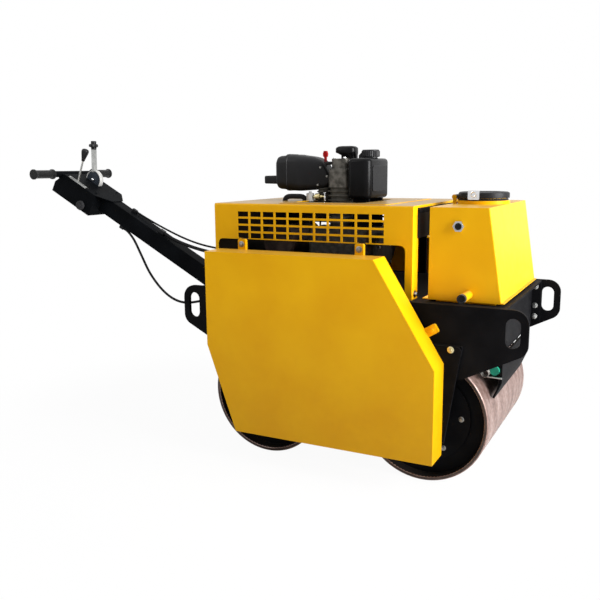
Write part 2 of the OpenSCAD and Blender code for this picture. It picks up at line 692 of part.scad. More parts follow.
// lid's profile: shares of its radius and of its height
lid_shares = [[0, 0], [1, 0], [1, 0.7], [0.98, 0.86], [0.93, 0.97], [0.86, 1], [0.66, 1], [0.63, 0.9],
    [0, 0.9]];
module tank_lid() color("#151515") sit() difference() {
    union() {
        translate([neck_x, 0, lid_low]) rotate_extrude() polygon([for (q = lid_shares) [q[0] * lid_r,
            q[1] * lid_h]]);
        rod_y(hinge_x, hinge_z, hinge_lug_r, -knuckle_half, knuckle_half);
        slab(hinge_x, neck_x - lid_r * strap_share, -knuckle_half, knuckle_half, hinge_z, hinge_z + strap_z);
    }
    rod_z(neck_x, 0, lid_r - lid_wall, lid_low - over, lid_low + lid_h - lid_wall);
    rod_y(hinge_x, hinge_z, lid_pin_r + 2 * run_fit, -knuckle_half - over, knuckle_half + over);
}
plug_t = 9;
plug_hex = 6;
module tank_fittings() color("#1a1a1c") sit() {
    translate([plug_x, -tank_half, plug_z]) rotate([90, 0, 0]) cylinder(r = plug_r, h = plug_t,
        $fn = plug_hex);
    rod_y(outlet_x, outlet_z, outlet_d / 2, -tank_half - outlet_l, -tank_half - outlet_l + cap_l);
}

// engine
rail_w = 40;
post_w = 12;
post_in = 30;
fuel_gap = 2; // fuel tank clear of the fins
fuel_x = cyl_x + cyl_half + fin_out + fuel_gap + fuel_len / 2; // centre of the fuel tank
fuel_up = 105; // foot of the fuel tank over the crankcase
fuel_z = case_top + fuel_up;
case_round = 22;
case_seam = 8; // proud seam between the halves of the crankcase
case_seam_t = 14;
case_seam_share = 0.52;
gear_r = 78; // bolted cover on the crankcase's front
gear_t = 16;
case_mid = bed_top + case_h * case_seam_share;
module case_block(d, z0, z1) translate([0, 0, z0]) linear_extrude(z1 - z0) polygon(even(box2(-case_rear - d,
    -case_half - d, case_front + d, case_half + d), case_round + d));
module crankcase() color("#55524d") sit() {
    case_block(0, bed_top + rail_h - over, case_top);
    case_block(case_seam, case_mid - case_seam_t / 2, case_mid + case_seam_t / 2);
    rod_x(0, case_mid, gear_r, case_front - over, case_front + gear_t);
    both_y() slab(-case_rear - rail_w / 2, case_front + rail_w / 2, case_half - rail_w, case_half, bed_top,
        bed_top + rail_h);
    both_y() slab(fuel_x - post_in, fuel_x + post_in, fuel_half - post_in - post_w, fuel_half - post_in,
        case_top - over, fuel_z);
}
barrel_half = 52; // half width of the cylinder's core across the machine
barrel_round = 30;
fin_round = 34;
function block_plan(dx, dy, r) = even(box2(cyl_x - cyl_half - dx, -barrel_half - dy, cyl_x + cyl_half + dx,
    barrel_half + dy), r);
module finned_cylinder() color("#6a655e") sit() {
    translate([0, 0, case_top]) linear_extrude(fin_top - case_top) polygon(block_plan(0, 0, barrel_round));
    for (i = [1 : fin_count - 1]) translate([0, 0, case_top + i * fin_step]) linear_extrude(fin_t)
        polygon(block_plan(fin_out, fin_out, fin_round));
}
head_out = 8; // head past the core on either side
head_round = 20;
rocker_in = 9; // rocker cover in from the head
rocker_share = 0.62; // height of the head under the rocker cover
gasket_t = 4;
module cylinder_head() color("#6a655e") sit() {
    translate([0, 0, fin_top]) linear_extrude(head_h * rocker_share) polygon(block_plan(0, head_out,
        head_round));
    translate([0, 0,
        fin_top + head_h * rocker_share - over]) linear_extrude(head_h * (1 - rocker_share) + over)
        polygon(block_plan(-rocker_in, head_out - rocker_in, head_round));
    translate([0, 0, fin_top + head_h * rocker_share - over]) linear_extrude(gasket_t + over)
        polygon(block_plan(-rocker_in / 2, head_out - rocker_in / 2, head_round));
}
recoil_r = 118;
recoil_l = 50;
recoil_lip = 14;
recoil_up = 122; // centre of the recoil housing over the bed
recoil_z = bed_top + recoil_up;
recoil_x = (case_front - case_rear) / 2;
recoil_y = case_half + case_seam; // seated on the crankcase's seam
vent_n = 12; // air slots round the recoil housing
vent_w = 16;
vent_in = 52;
vent_out = 92;
module recoil_housing() color("#2a2a2c") sit() difference() {
    union() {
        rod_y(recoil_x, recoil_z, recoil_r, recoil_y, recoil_y + recoil_l - recoil_lip);
        rod_y(recoil_x, recoil_z, recoil_r - recoil_lip, recoil_y + recoil_l - recoil_lip - over,
            recoil_y + recoil_l);
    }
    for (i = [0 : vent_n - 1]) translate([recoil_x, recoil_y + recoil_l - recoil_lip, recoil_z])
        rotate([0, 360 * i / vent_n, 0]) translate([vent_in, 0, -vent_w / 2])
            cube([vent_out - vent_in, recoil_lip + over, vent_w]);
}
// air cleaner: a moulded housing that tapers down to the head, with a rear cover, a flange and an inlet
seat_gap = 0.3;
filter_tip = cyl_x - cyl_half - seat_gap;
filter_x = filter_tip - filter_l; // joint with the rear cover
filter_foot = filter_z - filter_h / 2;
// side of the housing: shares of its length and of its height
filter_shares = [[0, 1], [0.3, 0.97], [0.6, 0.87], [0.8, 0.74], [0.94, 0.54], [1, 0.37], [0.96, 0.2],
    [0.8, 0.07], [0, 0]];
tip_half_share = 0.66; // width of the housing's tip
filter_round = 30;
flange_proud = 2;
filter_flange_t = 9;
rear_cover_l = 42;
rear_cover_in = 6;
inlet_l = 72;
inlet_half = 22;
inlet_h = 31;
inlet_drop = 28;
inlet_round = 8;
elbow_r = 20;
elbow_drop = 30;
function filter_end(d) = even(box2(-filter_half + d, filter_foot + d, filter_half - d,
    filter_foot + filter_h - d),
    filter_round);
filter_side = [for (q = spline(filter_shares)) [filter_x + q[0] * filter_l, filter_foot + q[1] * filter_h]];
filter_plan = rounded([[filter_x, -filter_half], [filter_tip - filter_half / 2, -filter_half],
    [filter_tip, -filter_half * tip_half_share], [filter_tip, filter_half * tip_half_share],
    [filter_tip - filter_half / 2, filter_half], [filter_x, filter_half]],
    [0, filter_round, filter_round / 2, filter_round / 2, filter_round, 0]);
rear_side = rounded(box2(filter_x - filter_flange_t - rear_cover_l, filter_foot + rear_cover_in, filter_x,
    filter_foot + filter_h - rear_cover_in), [filter_round, 0, 0, filter_round]);
rear_plan = rounded(box2(filter_x - filter_flange_t - rear_cover_l, rear_cover_in - filter_half, filter_x,
    filter_half - rear_cover_in), [filter_round, 0, 0, filter_round]);
inlet_end = even(box2(-inlet_half, filter_z - inlet_drop - inlet_h / 2, inlet_half,
    filter_z - inlet_drop + inlet_h / 2), inlet_round);
module air_cleaner() color("#1c1c1e") sit() {
    intersection() {
        wall_y(filter_side, -filter_half, 2 * filter_half);
        wall_x(filter_end(0), filter_x - over, filter_l + 2 * over);
        translate([0, 0, filter_foot - over]) linear_extrude(filter_h + 2 * over) polygon(filter_plan);
    }
    wall_x(filter_end(-flange_proud), filter_x - filter_flange_t, filter_flange_t + over / 2);
    intersection() {
        wall_y(rear_side, -filter_half, 2 * filter_half);
        wall_x(filter_end(rear_cover_in), filter_x - filter_flange_t - rear_cover_l,
            filter_flange_t + rear_cover_l);
        translate([0, 0, filter_foot]) linear_extrude(filter_h) polygon(rear_plan);
    }
    wall_x(inlet_end, filter_x - filter_flange_t - inlet_l - rear_cover_l / 2, inlet_l);
    rod_x(0, filter_z - elbow_drop, elbow_r, filter_tip - filter_half, filter_tip + seat_gap);
}
fuel_edge = fuel_round / 2;
fuel_side = even(box2(fuel_x - fuel_len / 2, fuel_z, fuel_x + fuel_len / 2, fuel_z + fuel_h), fuel_edge);
fuel_plan = even(box2(fuel_x - fuel_len / 2, -fuel_half, fuel_x + fuel_len / 2, fuel_half), fuel_round);
fuel_face = even(box2(-fuel_half, fuel_z, fuel_half, fuel_z + fuel_h), fuel_edge);
panel_in = 24; // raised panel in from the edges of the tank's faces
panel_t = 2;
module fuel_tank() color("#161618") sit() {
    intersection() {
        wall_y(fuel_side, -fuel_half, 2 * fuel_half);
        wall_x(fuel_face, fuel_x - fuel_len / 2, fuel_len);
        translate([0, 0, fuel_z]) linear_extrude(fuel_h) polygon(fuel_plan);
    }
    wall_x(even(box2(panel_in - fuel_half, fuel_z + panel_in, fuel_half - panel_in,
        fuel_z + fuel_h - panel_in),
        fuel_edge), fuel_x + fuel_len / 2 - over, over + panel_t);
}
fuel_top = fuel_z + fuel_h;
fuel_cap_r = 31;
fuel_cap_h = 30;
fuel_cap_off = 8; // cap ahead of the tank's middle
// cap's profile: shares of its radius and of its height
fuel_cap_shares = [[0, 0], [0.8, 0], [0.8, 0.12], [1, 0.16], [1, 0.88], [0.94, 1], [0, 1]];
vent_l = 20; // sloping vent at the cap's rear
vent_half = 13;
fuel_vent_shares = [[0, 0], [1, 0], [1, 0.92], [0.9, 0.92], [0, 0.36]];
fuel_cap_x = fuel_x + fuel_cap_off;
module fuel_cap() color("#2a2a2c") sit() {
    translate([fuel_cap_x, 0, fuel_top]) rotate_extrude()
        polygon([for (q = fuel_cap_shares) [q[0] * fuel_cap_r, q[1] * fuel_cap_h]]);
    translate([fuel_cap_x - fuel_cap_r - vent_l / 2, 0, fuel_top])
        wall_y([for (q = fuel_vent_shares) [q[0] * vent_l, q[1] * fuel_cap_h]], -vent_half, 2 * vent_half);
}
// breather: a hooded cap that hangs over to the rear; shares of its length and of its height
breather_l = 78;
breather_h = 45;
breather_half = 31;
breather_round = 22;
breather_off = 11; // breather ahead of the cylinder's axis
breather_x = cyl_x + breather_off;
breather_shares = [[0.27, 0], [1, 0], [1, 0.84], [0.98, 0.93], [0.92, 0.97], [0.12, 1], [0.04, 0.97],
    [0.01, 0.9],
    [0, 0.43], [0.05, 0.4], [0.21, 0.3], [0.27, 0.16]];
module breather_cap() color("#1c1c1e") sit() translate([breather_x - breather_l / 2, 0,
    head_top]) intersection() {
    wall_y([for (q = breather_shares) [q[0] * breather_l, q[1] * breather_h]], -breather_half,
        2 * breather_half);
    linear_extrude(breather_h) polygon(even(box2(0, -breather_half, breather_l, breather_half),
        breather_round));
}
// decompression lever behind the head: shares of its width and of its height
decomp_w = 17;
decomp_h = 56;
decomp_t = 11;
decomp_y = -40;
decomp_back = 14; // lever's middle behind the head
decomp_boss_r = 6;
decomp_shares = [[0.3, 0], [0.7, 0], [0.68, 0.58], [0.95, 0.66], [1, 0.82], [0.8, 1], [0.2, 1], [0, 0.82],
    [0.05, 0.66], [0.32, 0.58]];
decomp_x = cyl_x - cyl_half - decomp_back;
decomp_z = fin_top + head_h - decomp_h / 2;
module decompression_lever() color("#c01818") sit() {
    translate([decomp_x - decomp_w / 2, 0, decomp_z]) wall_y([for (q = decomp_shares) [q[0] * decomp_w,
        q[1] * decomp_h]], decomp_y - decomp_t / 2, decomp_t);
    rod_x(decomp_y, decomp_z + decomp_boss_r * 2, decomp_boss_r, decomp_x, cyl_x - cyl_half + rocker_in);
}
muffler_in = 168; // muffler ahead of the hood's rear face
muffler_x = muffler_in - hood_rear;
muffler_up = 150; // centre of the muffler over the bed
muffler_z = bed_top + muffler_up;
muffler_half = 125;
pipe_out = 40; // exhaust pipe out from the head
pipe_up = 30; // level stretch over the crankcase
port_up = 40; // exhaust port over the fins
tail_drop = 25; // tail pipe below the muffler's axis
tail_gap = 8; // tail pipe's end short of the hood
head_half = barrel_half + head_out;
pipe_y = head_half + pipe_out;
pipe_z = case_top + pipe_up;
port_z = fin_top + port_up;
tail_z = muffler_z - tail_drop;
tail_end = hood_inner - tail_gap;
strap_w = 30;
seam_out = 5; // rolled seam round each end of the muffler
module exhaust() color("#4a4038") sit() {
    rod_y(muffler_x, muffler_z, muffler_r, -muffler_half, muffler_half);
    both_y() rod_y(muffler_x, muffler_z, muffler_r + seam_out, muffler_half - 2 * seam_out,
        muffler_half - seam_out);
    rod_z(muffler_x, pipe_y, exhaust_r, muffler_z, pipe_z);
    translate([muffler_x, pipe_y, pipe_z]) sphere(r = exhaust_r);
    rod_x(pipe_y, pipe_z, exhaust_r, muffler_x, cyl_x);
    translate([cyl_x, pipe_y, pipe_z]) sphere(r = exhaust_r);
    rod_z(cyl_x, pipe_y, exhaust_r, pipe_z, port_z);
    translate([cyl_x, pipe_y, port_z]) sphere(r = exhaust_r);
    rod_y(cyl_x, port_z, exhaust_r, head_half, pipe_y);
    rod_y(muffler_x, tail_z, exhaust_r, muffler_half - over, tail_end);
    slab(muffler_x - strap_w / 2, muffler_x + strap_w / 2, -strap_w, strap_w, bed_top,
        muffler_z - muffler_r / 2);
}

// scrapers and water
edge = [axle_x, axle_z] + (drum_r + scraper_gap) * [cos(scraper_angle), sin(scraper_angle)];
hang_t = 8;
hang_end = 60; // hanger in from the scraper's end
hang_in = scraper_half - hang_end;
hang_w = 30;
hang_drop = 87; // foot of a scraper's hanger below the cross plate
hang_lap = 36; // how far the hanger laps the cross plate
hang_low = cross_low - hang_drop;
hang_up = cross_low + hang_lap;
blade_outline = [edge, edge + [scraper_t, -scraper_t / 2], [cross_x + hang_t, hang_low],
    [cross_x + hang_t, hang_low + hang_t], [cross_x, hang_low + hang_t], [cross_x, hang_low]];
module scraper() {
    wall_y(blade_outline, -scraper_half, 2 * scraper_half);
    slab(cross_x, cross_x + hang_t, -scraper_half, scraper_half, hang_low, cross_low - over);
    both_y() slab(cross_x, cross_x + hang_t, hang_in, hang_in + hang_w, hang_low, hang_up);
}
module scrapers() color("#2a2a2c") sit() both_x() scraper();
spray_end = 6; // pipe short of the scraper
spray_half = scraper_half - spray_end;
saddle_h = 16;
module spray() {
    rod_y(spray_x, spray_z, spray_d / 2, -spray_half, spray_half);
    both_y() slab(spray_x, cross_x, hang_in, hang_in + hang_w, spray_z - saddle_h / 2,
        spray_z + saddle_h / 2);
}
module sprinkler_pipes() color("#c9c9c4") sit() both_x() spray();
cap_t = 16;
cap_over = 2.5;
module sprinkler_caps() color("#2f8a4a") sit() both_x() both_y()
    rod_y(spray_x, spray_z, spray_d / 2 + cap_over, spray_half, spray_half + cap_t);

// tiller
boss_r = 24;
boss_play = 0.5;
arm_nose = 32;
hollow_from = 70;
module tiller_arm() color("#141416") sit() on_tiller() difference() {
    union() {
        slab(-arm_l, arm_nose, -arm_half, arm_half, arm_mid - arm_h / 2, arm_mid + arm_h / 2);
        rod_y(0, 0, boss_r, boss_play - lug_in, lug_in - boss_play);
    }
    slab(-arm_l - over, -hollow_from, arm_wall - arm_half, arm_half - arm_wall,
        arm_mid - arm_h / 2 + arm_wall, arm_mid + arm_h / 2 - arm_wall);
    rod_y(0, 0, pivot_d / 2 + run_fit, -lug_in - over, lug_in + over);
}
// cable clips on the tube: front face, middle across, half width, height, length
clips_up = [[188.6, 12, 6.5, 13, 24], [371, -10, 9, 17, 26]];
clip_down = [175.9, -16, 7.5, 14.5, 22];
module cable_clips() color("#1c1c1e") sit() on_tiller() {
    for (c = clips_up) slab(c[0] - arm_l - c[4], c[0] - arm_l, c[1] - c[2], c[1] + c[2], arm_mid + arm_h / 2,
        arm_mid + arm_h / 2 + c[3]);
    slab(clip_down[0] - arm_l - clip_down[4], clip_down[0] - arm_l,
        clip_down[1] - clip_down[2], clip_down[1] + clip_down[2],
        arm_mid - arm_h / 2 - clip_down[3], arm_mid - arm_h / 2);
}
gland_r = 10;
gland_l = 20.7;
gland_low_l = 19.7;
// places of the glands across the roller and over or under the bed, where the cables end
throttle_gland_y = -30;
throttle_gland_up = 97;
hose_gland_y = -60;
hose_gland_up = 79;
low_gland_y = -122;
low_gland_drop = 75;
gland_nut = 14; // thread's nut against the sheet
gland_nut_t = 6;
module gland(y, z, x, l) {
    rod_x(y, z, gland_r, x - l, x);
    translate([x - gland_nut_t, y, z]) rotate([0, 90, 0]) cylinder(r = gland_nut, h = gland_nut_t,
        $fn = plug_hex);
}
module cable_glands() color("#1c1c1e") sit() {
    gland(throttle_gland_y, bed_top + throttle_gland_up, -hood_rear, gland_l);
    gland(hose_gland_y, bed_top + hose_gland_up, -hood_rear, gland_l);
    gland(low_gland_y, bed_top - low_gland_drop, -cross_x, gland_low_l);
}
// console: a box with a slanting rear, whose top runs on along the tube
console_side = [[-console_rear, -console_down], [-console_front, -console_down],
    [-console_front, console_top], [rear_cut_l - console_rear, console_top],
    [-console_rear, console_top - rear_cut_h]];
console_tongue = [[-console_front - over, -console_half], [-console_front, -console_half],
    [console_taper_l - console_front, -console_nose], [console_taper_l - console_front, console_nose],
    [-console_front, console_half], [-console_front - over, console_half]];
module console() color("#141416") sit() on_tiller() {
    difference() {
        wall_y(console_side, -console_half, 2 * console_half);
        wall_y(inset(console_side, sheet), sheet - console_half, 2 * (console_half - sheet));
        slab(-console_front - 2 * sheet, over - console_front, -arm_half, arm_half, arm_mid - arm_h / 2,
            arm_mid + arm_h / 2);
    }
    translate([0, 0, console_top - sheet]) linear_extrude(sheet) polygon(console_tongue);
}
clamp_in = 62;
clamp_w = 18;
clamp_half = 14;
grip_end = 4; // closed end of a grip
bar_end = bar_half - grip_end;
module handlebar() color("#1c1c1e") sit() on_tiller() {
    rod_y(-bar_x, bar_z, bar_d / 2, -bar_end, bar_end);
    both_y() translate([-bar_x, 0, bar_z]) rotate([0, rear_cut, 0])
        slab(0, bar_d / 2 + bar_out, clamp_in, clamp_in + clamp_w, -clamp_half, clamp_half);
}
grip_flare = 4;
grip_lip = 7;
grip_bore = bar_d / 2 + run_fit;
grip_outline = [[grip_bore, 0], [grip_d / 2 + grip_flare, 0], [grip_d / 2 + grip_flare, grip_lip],
    [grip_d / 2, grip_lip * 2], [grip_d / 2, grip_l - 2 * grip_lip], [grip_d / 2 + grip_flare,
        grip_l - grip_lip],
    [grip_d / 2 + grip_flare, grip_l - over], [grip_d / 2 + over, grip_l], [0, grip_l],
    [0, grip_l - grip_end], [grip_bore, grip_l - grip_end]];
module grips() color("#101012") sit() on_tiller() both_y() translate([-bar_x, bar_half - grip_l, bar_z])
    rotate([-90, 0, 0]) rotate_extrude() polygon(grip_outline);
quad_in = 113; // quadrant ahead of the console's rear face
quad_x = console_rear - quad_in;
quad_up = 13; // its centre over the console's top
quad_z = console_top + quad_up;
quad_r = 40;
quad_t = 18;
quad_y = 12;
lever_w = 13;
lever_t = 20;
lever_h = 131;
lever_lean = 2;
lever_y = quad_y + quad_t / 2;
lever_seat = 33; // foot of the lever, in a notch of the quadrant's rim
lever_hub = 6;
lever_hub_t = 5;
module upright(x, y, z, lean) on_tiller() translate([-x, y, z]) rotate([0, lean - tiller_slope,
    0]) children();
module lever_bar() upright(quad_x, lever_y, quad_z, lever_lean)
    slab(-lever_w / 2, lever_w / 2, -lever_t / 2, lever_t / 2, lever_seat, lever_h);
module lever_quadrant() color("#6f7276") sit() difference() {
    on_tiller() intersection() {
        rod_y(-quad_x, quad_z, quad_r, quad_y, quad_y + quad_t);
        slab(-quad_x - quad_r, quad_r - quad_x, quad_y - over, quad_y + quad_t + over, console_top,
            quad_z + quad_r);
    }
    lever_bar();
}
// the lever's pivot shows on the quadrant's near face
module travel_lever() {
    lever_bar();
    on_tiller() rod_y(-quad_x, quad_z, lever_hub, quad_y - lever_hub_t, quad_y);
}
throttle_in = 114; // throttle lever ahead of the console's rear face
throttle_x = console_rear - throttle_in;
throttle_y = -79;
throttle_lean = 22;
throttle_r = 4;
throttle_l = 99;
throttle_foot = 52;
throttle_strip = 5.5; // half width of the strip at its foot
module throttle_lever() {
    difference() {
        upright(throttle_x, throttle_y, console_top, throttle_lean)
            rod_z(0, 0, throttle_r, -throttle_foot, throttle_l);
        on_tiller() slab(-console_rear, -console_front, -console_half, console_half, -console_down,
            console_top + throttle_r);
    }
    on_tiller() slab(-throttle_x - throttle_foot, throttle_foot - throttle_x, throttle_y - throttle_strip,
        throttle_y + throttle_strip, console_top, console_top + throttle_r + over / 2);
}
module control_levers() color("#bcbec0") sit() {
    travel_lever();
    throttle_lever();
}
knob_r = 19;
knob_h = 37;
// knob profiles: shares of radius and of height
star_shares = [[0, 0], [0.6, 0], [0.66, 0.24], [1, 0.34], [1, 0.64], [0.66, 0.74], [0.6, 1], [0, 1]];
pear_shares = [[0, 0], [0.42, 0], [0.62, 0.18], [0.94, 0.58], [1, 0.76], [0.86, 0.94], [0.5, 1], [0, 1]];
pear_r = 15.5;
pear_h = 54;
module lever_knobs() color("#101012") sit() {
    upright(quad_x, lever_y, quad_z, lever_lean) translate([0, 0, lever_h]) rotate_extrude()
        polygon([for (q = star_shares) [q[0] * knob_r, q[1] * knob_h]]);
    upright(throttle_x, throttle_y, console_top, throttle_lean) translate([0, 0, throttle_l]) rotate_extrude()
        polygon([for (q = pear_shares) [q[0] * pear_r, q[1] * pear_h]]);
}
console_plug_in = 53; // plug behind the console's front end
console_plug_x = console_front + console_plug_in;
console_plug_up = 22; // and over its floor
console_plug_z = console_plug_up - console_down;
console_plug_r = 20;
console_plug_t = 6;
module console_plug() color("#2a2a2c") sit() on_tiller()
    rod_y(-console_plug_x, console_plug_z, console_plug_r, -console_half - console_plug_t, -console_half);
module throttle_cable() color("#121214") sit() hose(tied(throttle_route), throttle_cable_d);
module control_hose() color("#121214") sit() hose(tied(hose_route), control_hose_d);
module hanging_cable() color("#121214") sit() hose(tied(hanging_route), hanging_cable_d);

side_plate_right();
side_plate_left();
front_cross_plate();
rear_cross_plate();
bed_plate();
drum_hangers();
axle_stubs();
hood();
cover_right();
cover_left();
tank_body();
tank_top();
tank_fittings();
tank_lid();
crankcase();
finned_cylinder();
cylinder_head();
recoil_housing();
air_cleaner();
fuel_tank();
fuel_cap();
breather_cap();
decompression_lever();
exhaust();
scrapers();
sprinkler_pipes();
sprinkler_caps();
cable_glands();
tiller_pin();
front_drum();
front_hub_plates();
rear_drum();
rear_hub_plates();
tiller_arm();
cable_clips();
console();
handlebar();
grips();
control_levers();
lever_quadrant();
lever_knobs();
console_plug();
throttle_cable();
control_hose();
hanging_cable();
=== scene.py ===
# %% [markdown]
# A walk-behind road roller: two steel drums, a folded yellow hood round a small diesel engine, a water tank
# and a long black tiller with its controls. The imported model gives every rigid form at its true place, in
# metres. This lesson adds what a machine shop and a paint shop would: finishes, rounded edges, bolts, welds,
# cables and the small fittings.

# %% Load the fixed frame
import math
import bpy
import numpy as np
from mathutils import Matrix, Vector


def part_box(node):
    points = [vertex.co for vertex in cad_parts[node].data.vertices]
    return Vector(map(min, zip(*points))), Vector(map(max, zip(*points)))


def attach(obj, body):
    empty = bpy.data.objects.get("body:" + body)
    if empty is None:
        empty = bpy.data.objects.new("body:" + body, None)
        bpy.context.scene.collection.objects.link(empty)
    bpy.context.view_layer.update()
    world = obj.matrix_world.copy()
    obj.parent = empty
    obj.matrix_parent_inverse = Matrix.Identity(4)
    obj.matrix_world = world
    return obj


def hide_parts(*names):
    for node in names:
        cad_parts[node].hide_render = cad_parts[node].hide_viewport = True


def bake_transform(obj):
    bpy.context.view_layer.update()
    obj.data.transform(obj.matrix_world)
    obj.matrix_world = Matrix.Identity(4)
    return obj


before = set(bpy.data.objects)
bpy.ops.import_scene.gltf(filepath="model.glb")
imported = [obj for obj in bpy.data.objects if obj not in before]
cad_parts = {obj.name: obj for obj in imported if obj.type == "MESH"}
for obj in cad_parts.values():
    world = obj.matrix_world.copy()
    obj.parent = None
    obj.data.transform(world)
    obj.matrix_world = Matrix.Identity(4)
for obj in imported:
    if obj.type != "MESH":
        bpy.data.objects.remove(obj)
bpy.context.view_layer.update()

# %% [markdown]
# The drawing was made in millimetres from the point midway between the axles. One function turns such
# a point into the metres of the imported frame, so that each fitting can be placed from the drawing. What sits
# on the tiller is measured along it from its hinge, and then turned by the tiller's slope.

# %% From the drawing's millimetres to the frame
MIDDLE_X = sum(sum(c[0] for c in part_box(n)) for n in ("front_drum", "rear_drum")) / 4
AXLE_X, AXLE_Z = 290, 212.5  # an axle's distance from the middle and its height
DRUM_AXLES = {"front_drum": AXLE_X, "rear_drum": -AXLE_X}
SIDES = ((-1, "right"), (1, "left"))
ENDS = (-1, 1)  # rear and front
HOOD_FRONT = 243
TILLER_HINGE = np.array([-585.0, 0.0, 505.0])
TILLER_SLOPE = math.radians(28.5)
TRAVEL_LEVER = (-887, 21, 50)  # the levers' feet, on the tiller
THROTTLE_LEVER = (-886, -79, 37)


def at(points):
    """Point or array of points: millimetres from mid-wheelbase, divided by 1000 and moved ahead by MIDDLE_X."""
    return np.asarray(points, float) / 1000 + np.array([MIDDLE_X, 0, 0])


def turned(points, angle):
    """Turn about Y: x cos + z sin, y, z cos - x sin."""
    c, s = math.cos(angle), math.sin(angle)
    return np.asarray(points, float) @ np.array([[c, 0, s], [0, 1, 0], [-s, 0, c]]).T


def on_tiller(points):
    """Points measured along, across and above the tiller, turned by its slope and moved to its hinge."""
    return at(turned(points, TILLER_SLOPE) + TILLER_HINGE)


def pose(across, up, back, spot):
    """The matrix whose first three columns are an object's own X, Y and Z, and whose last is its place."""
    axes = np.stack([across, up, back], 1).tolist()
    return Matrix([[*row, p] for row, p in zip(axes, spot)] + [[0, 0, 0, 1]])


print("mid-wheelbase lies at x =", round(MIDDLE_X, 4), "m")

# %% [markdown]
# The camera stands to the machine's front right, a little above the hood, as a person would with a phone.
# Its place and lens were worked out once from the straight edges of the machine, so the picture's frame fits.

# %% Camera
CAMERA_AT = at([967.9, -2479.5, 1011.3])
AZIMUTH, ELEVATION, ROLL = np.radians([27.197864, 10.240783, -0.479484])
SENSOR_MM, LENS_MM = 36, 43.531
ahead = np.array([-np.sin(AZIMUTH) * np.cos(ELEVATION), np.cos(AZIMUTH) * np.cos(ELEVATION), -np.sin(ELEVATION)])
level = np.array([np.cos(AZIMUTH), np.sin(AZIMUTH), 0])
over = np.cross(level, ahead)
right = level * np.cos(ROLL) + over * np.sin(ROLL)
up = over * np.cos(ROLL) - level * np.sin(ROLL)
camera = bpy.data.objects.new("camera", bpy.data.cameras.new("camera"))
bpy.context.scene.collection.objects.link(camera)
camera.data.sensor_width, camera.data.lens = SENSOR_MM, LENS_MM
camera.matrix_world = pose(right, up, -ahead, CAMERA_AT)
camera.data.clip_end = 60
bpy.context.scene.camera = camera
print("camera looks down by", round(math.degrees(ELEVATION), 1), "degrees")

# %% [markdown]
# Every finish is a small graph of shader nodes. Helpers keep those graphs short: one turns a paint chart's
# hex colour into the linear numbers that a renderer works with, one adds a node, sets its values and links
# what feeds it, and the others are the few groups of nodes that most finishes share.

# %% Helpers for finishes
MIX_A, MIX_B, MIX_OUT = 6, 7, 2  # the Mix node's sockets for two colours and their mixture


def hex_linear(code):
    """sRGB to linear: c / 12.92 below 0.04045, else ((c + 0.055) / 1.055) to the power 2.4."""
    c = np.array([int(code[i:i + 2], 16) for i in (1, 3, 5)]) / 255
    low, high = c / 12.92, ((c + 0.055) / 1.055) ** 2.4
    return (*np.where(c <= 0.04045, low, high).tolist(), 1.0)


def add_node(tree, kind, inputs=None, **settings):
    """Add a node of this kind, set its properties, and fill its inputs with values or with other nodes' outputs."""
    made = tree.nodes.new("ShaderNode" + kind)
    for name, value in settings.items():
        setattr(made, name, value)
    for key, value in (inputs or {}).items():
        if isinstance(value, bpy.types.NodeSocket):
            tree.links.new(value, made.inputs[key])
        else:
            made.inputs[key].default_value = value
    return made


def start_finish(name, note, **sockets):
    """A new material with one Principled shader: constant values go straight on the shader's own sockets."""
    finish = bpy.data.materials.new(name)
    finish.use_nodes = True
    tree = finish.node_tree
    shader = tree.nodes["Principled BSDF"]
    for key, value in sockets.items():
        shader.inputs[key.replace("_", " ")].default_value = value
    place = add_node(tree, "TexCoord").outputs["Object"]
    print("finish:", name, "-", note)
    return finish, tree, shader, place


def per_mm(size):
    """A texture repeats about once per unit of 1 / Scale, so Scale for a grain of this size in millimetres."""
    return 1000.0 / size


def noise(tree, place, grain_mm, detail, **more):
    """A noise whose lumps are about grain_mm across, from 0 to 1."""
    inputs = {"Vector": place, "Scale": per_mm(grain_mm), "Detail": detail, **more}
    return add_node(tree, "TexNoise", inputs).outputs["Fac"]


def spread(tree, value, low, high, **more):
    """Carry a value from 0..1, or the range that From Min and From Max give, to low..high."""
    inputs = {"Value": value, "To Min": low, "To Max": high, **more}
    return add_node(tree, "MapRange", inputs).outputs["Result"]


def ramp(tree, factor, stops):
    """A colour ramp: stops are (place, hex colour)."""
    made = add_node(tree, "ValToRGB", {"Fac": factor})
    band = made.color_ramp.elements
    while len(band) < len(stops):
        band.new(0.5)
    for element, (place, tone) in zip(band, stops):
        element.position, element.color = place, hex_linear(tone)
    return made.outputs["Color"]


def arithmetic(tree, operation, one, other):
    """Two values added, multiplied or compared, as the operation says."""
    return add_node(tree, "Math", {0: one, 1: other}, operation=operation).outputs["Value"]


def mix_in(tree, share, colour, other):
    """The colour, with a share of another, given as hex."""
    inputs = {"Factor": share, MIX_A: colour, MIX_B: hex_linear(other)}
    return add_node(tree, "Mix", inputs, data_type="RGBA").outputs[MIX_OUT]


def lying_dust(tree, least, most):
    """None where the normal's Z is below the least, rising to the most where a face looks straight up."""
    normal = add_node(tree, "NewGeometry").outputs["Normal"]
    facing_up = add_node(tree, "SeparateXYZ", {"Vector": normal}).outputs["Z"]
    return spread(tree, facing_up, 0.0, most, **{"From Min": least, "From Max": 1.0})


def surface(tree, shader, colour, patches, rough, height, strength, depth):
    """Link the colour, a roughness that follows the patches between its two ends, and a bump of some depth."""
    tree.links.new(colour, shader.inputs["Base Color"])
    tree.links.new(spread(tree, patches, *rough), shader.inputs["Roughness"])
    bump = add_node(tree, "Bump", {"Height": height, "Strength": strength, "Distance": depth})
    tree.links.new(bump.outputs["Normal"], shader.inputs["Normal"])


# %% [markdown]
# Moulded black plastic has a soft sheen and a fine spark-eroded grain from its mould. The small painted parts
# use the same graph with very little grain.

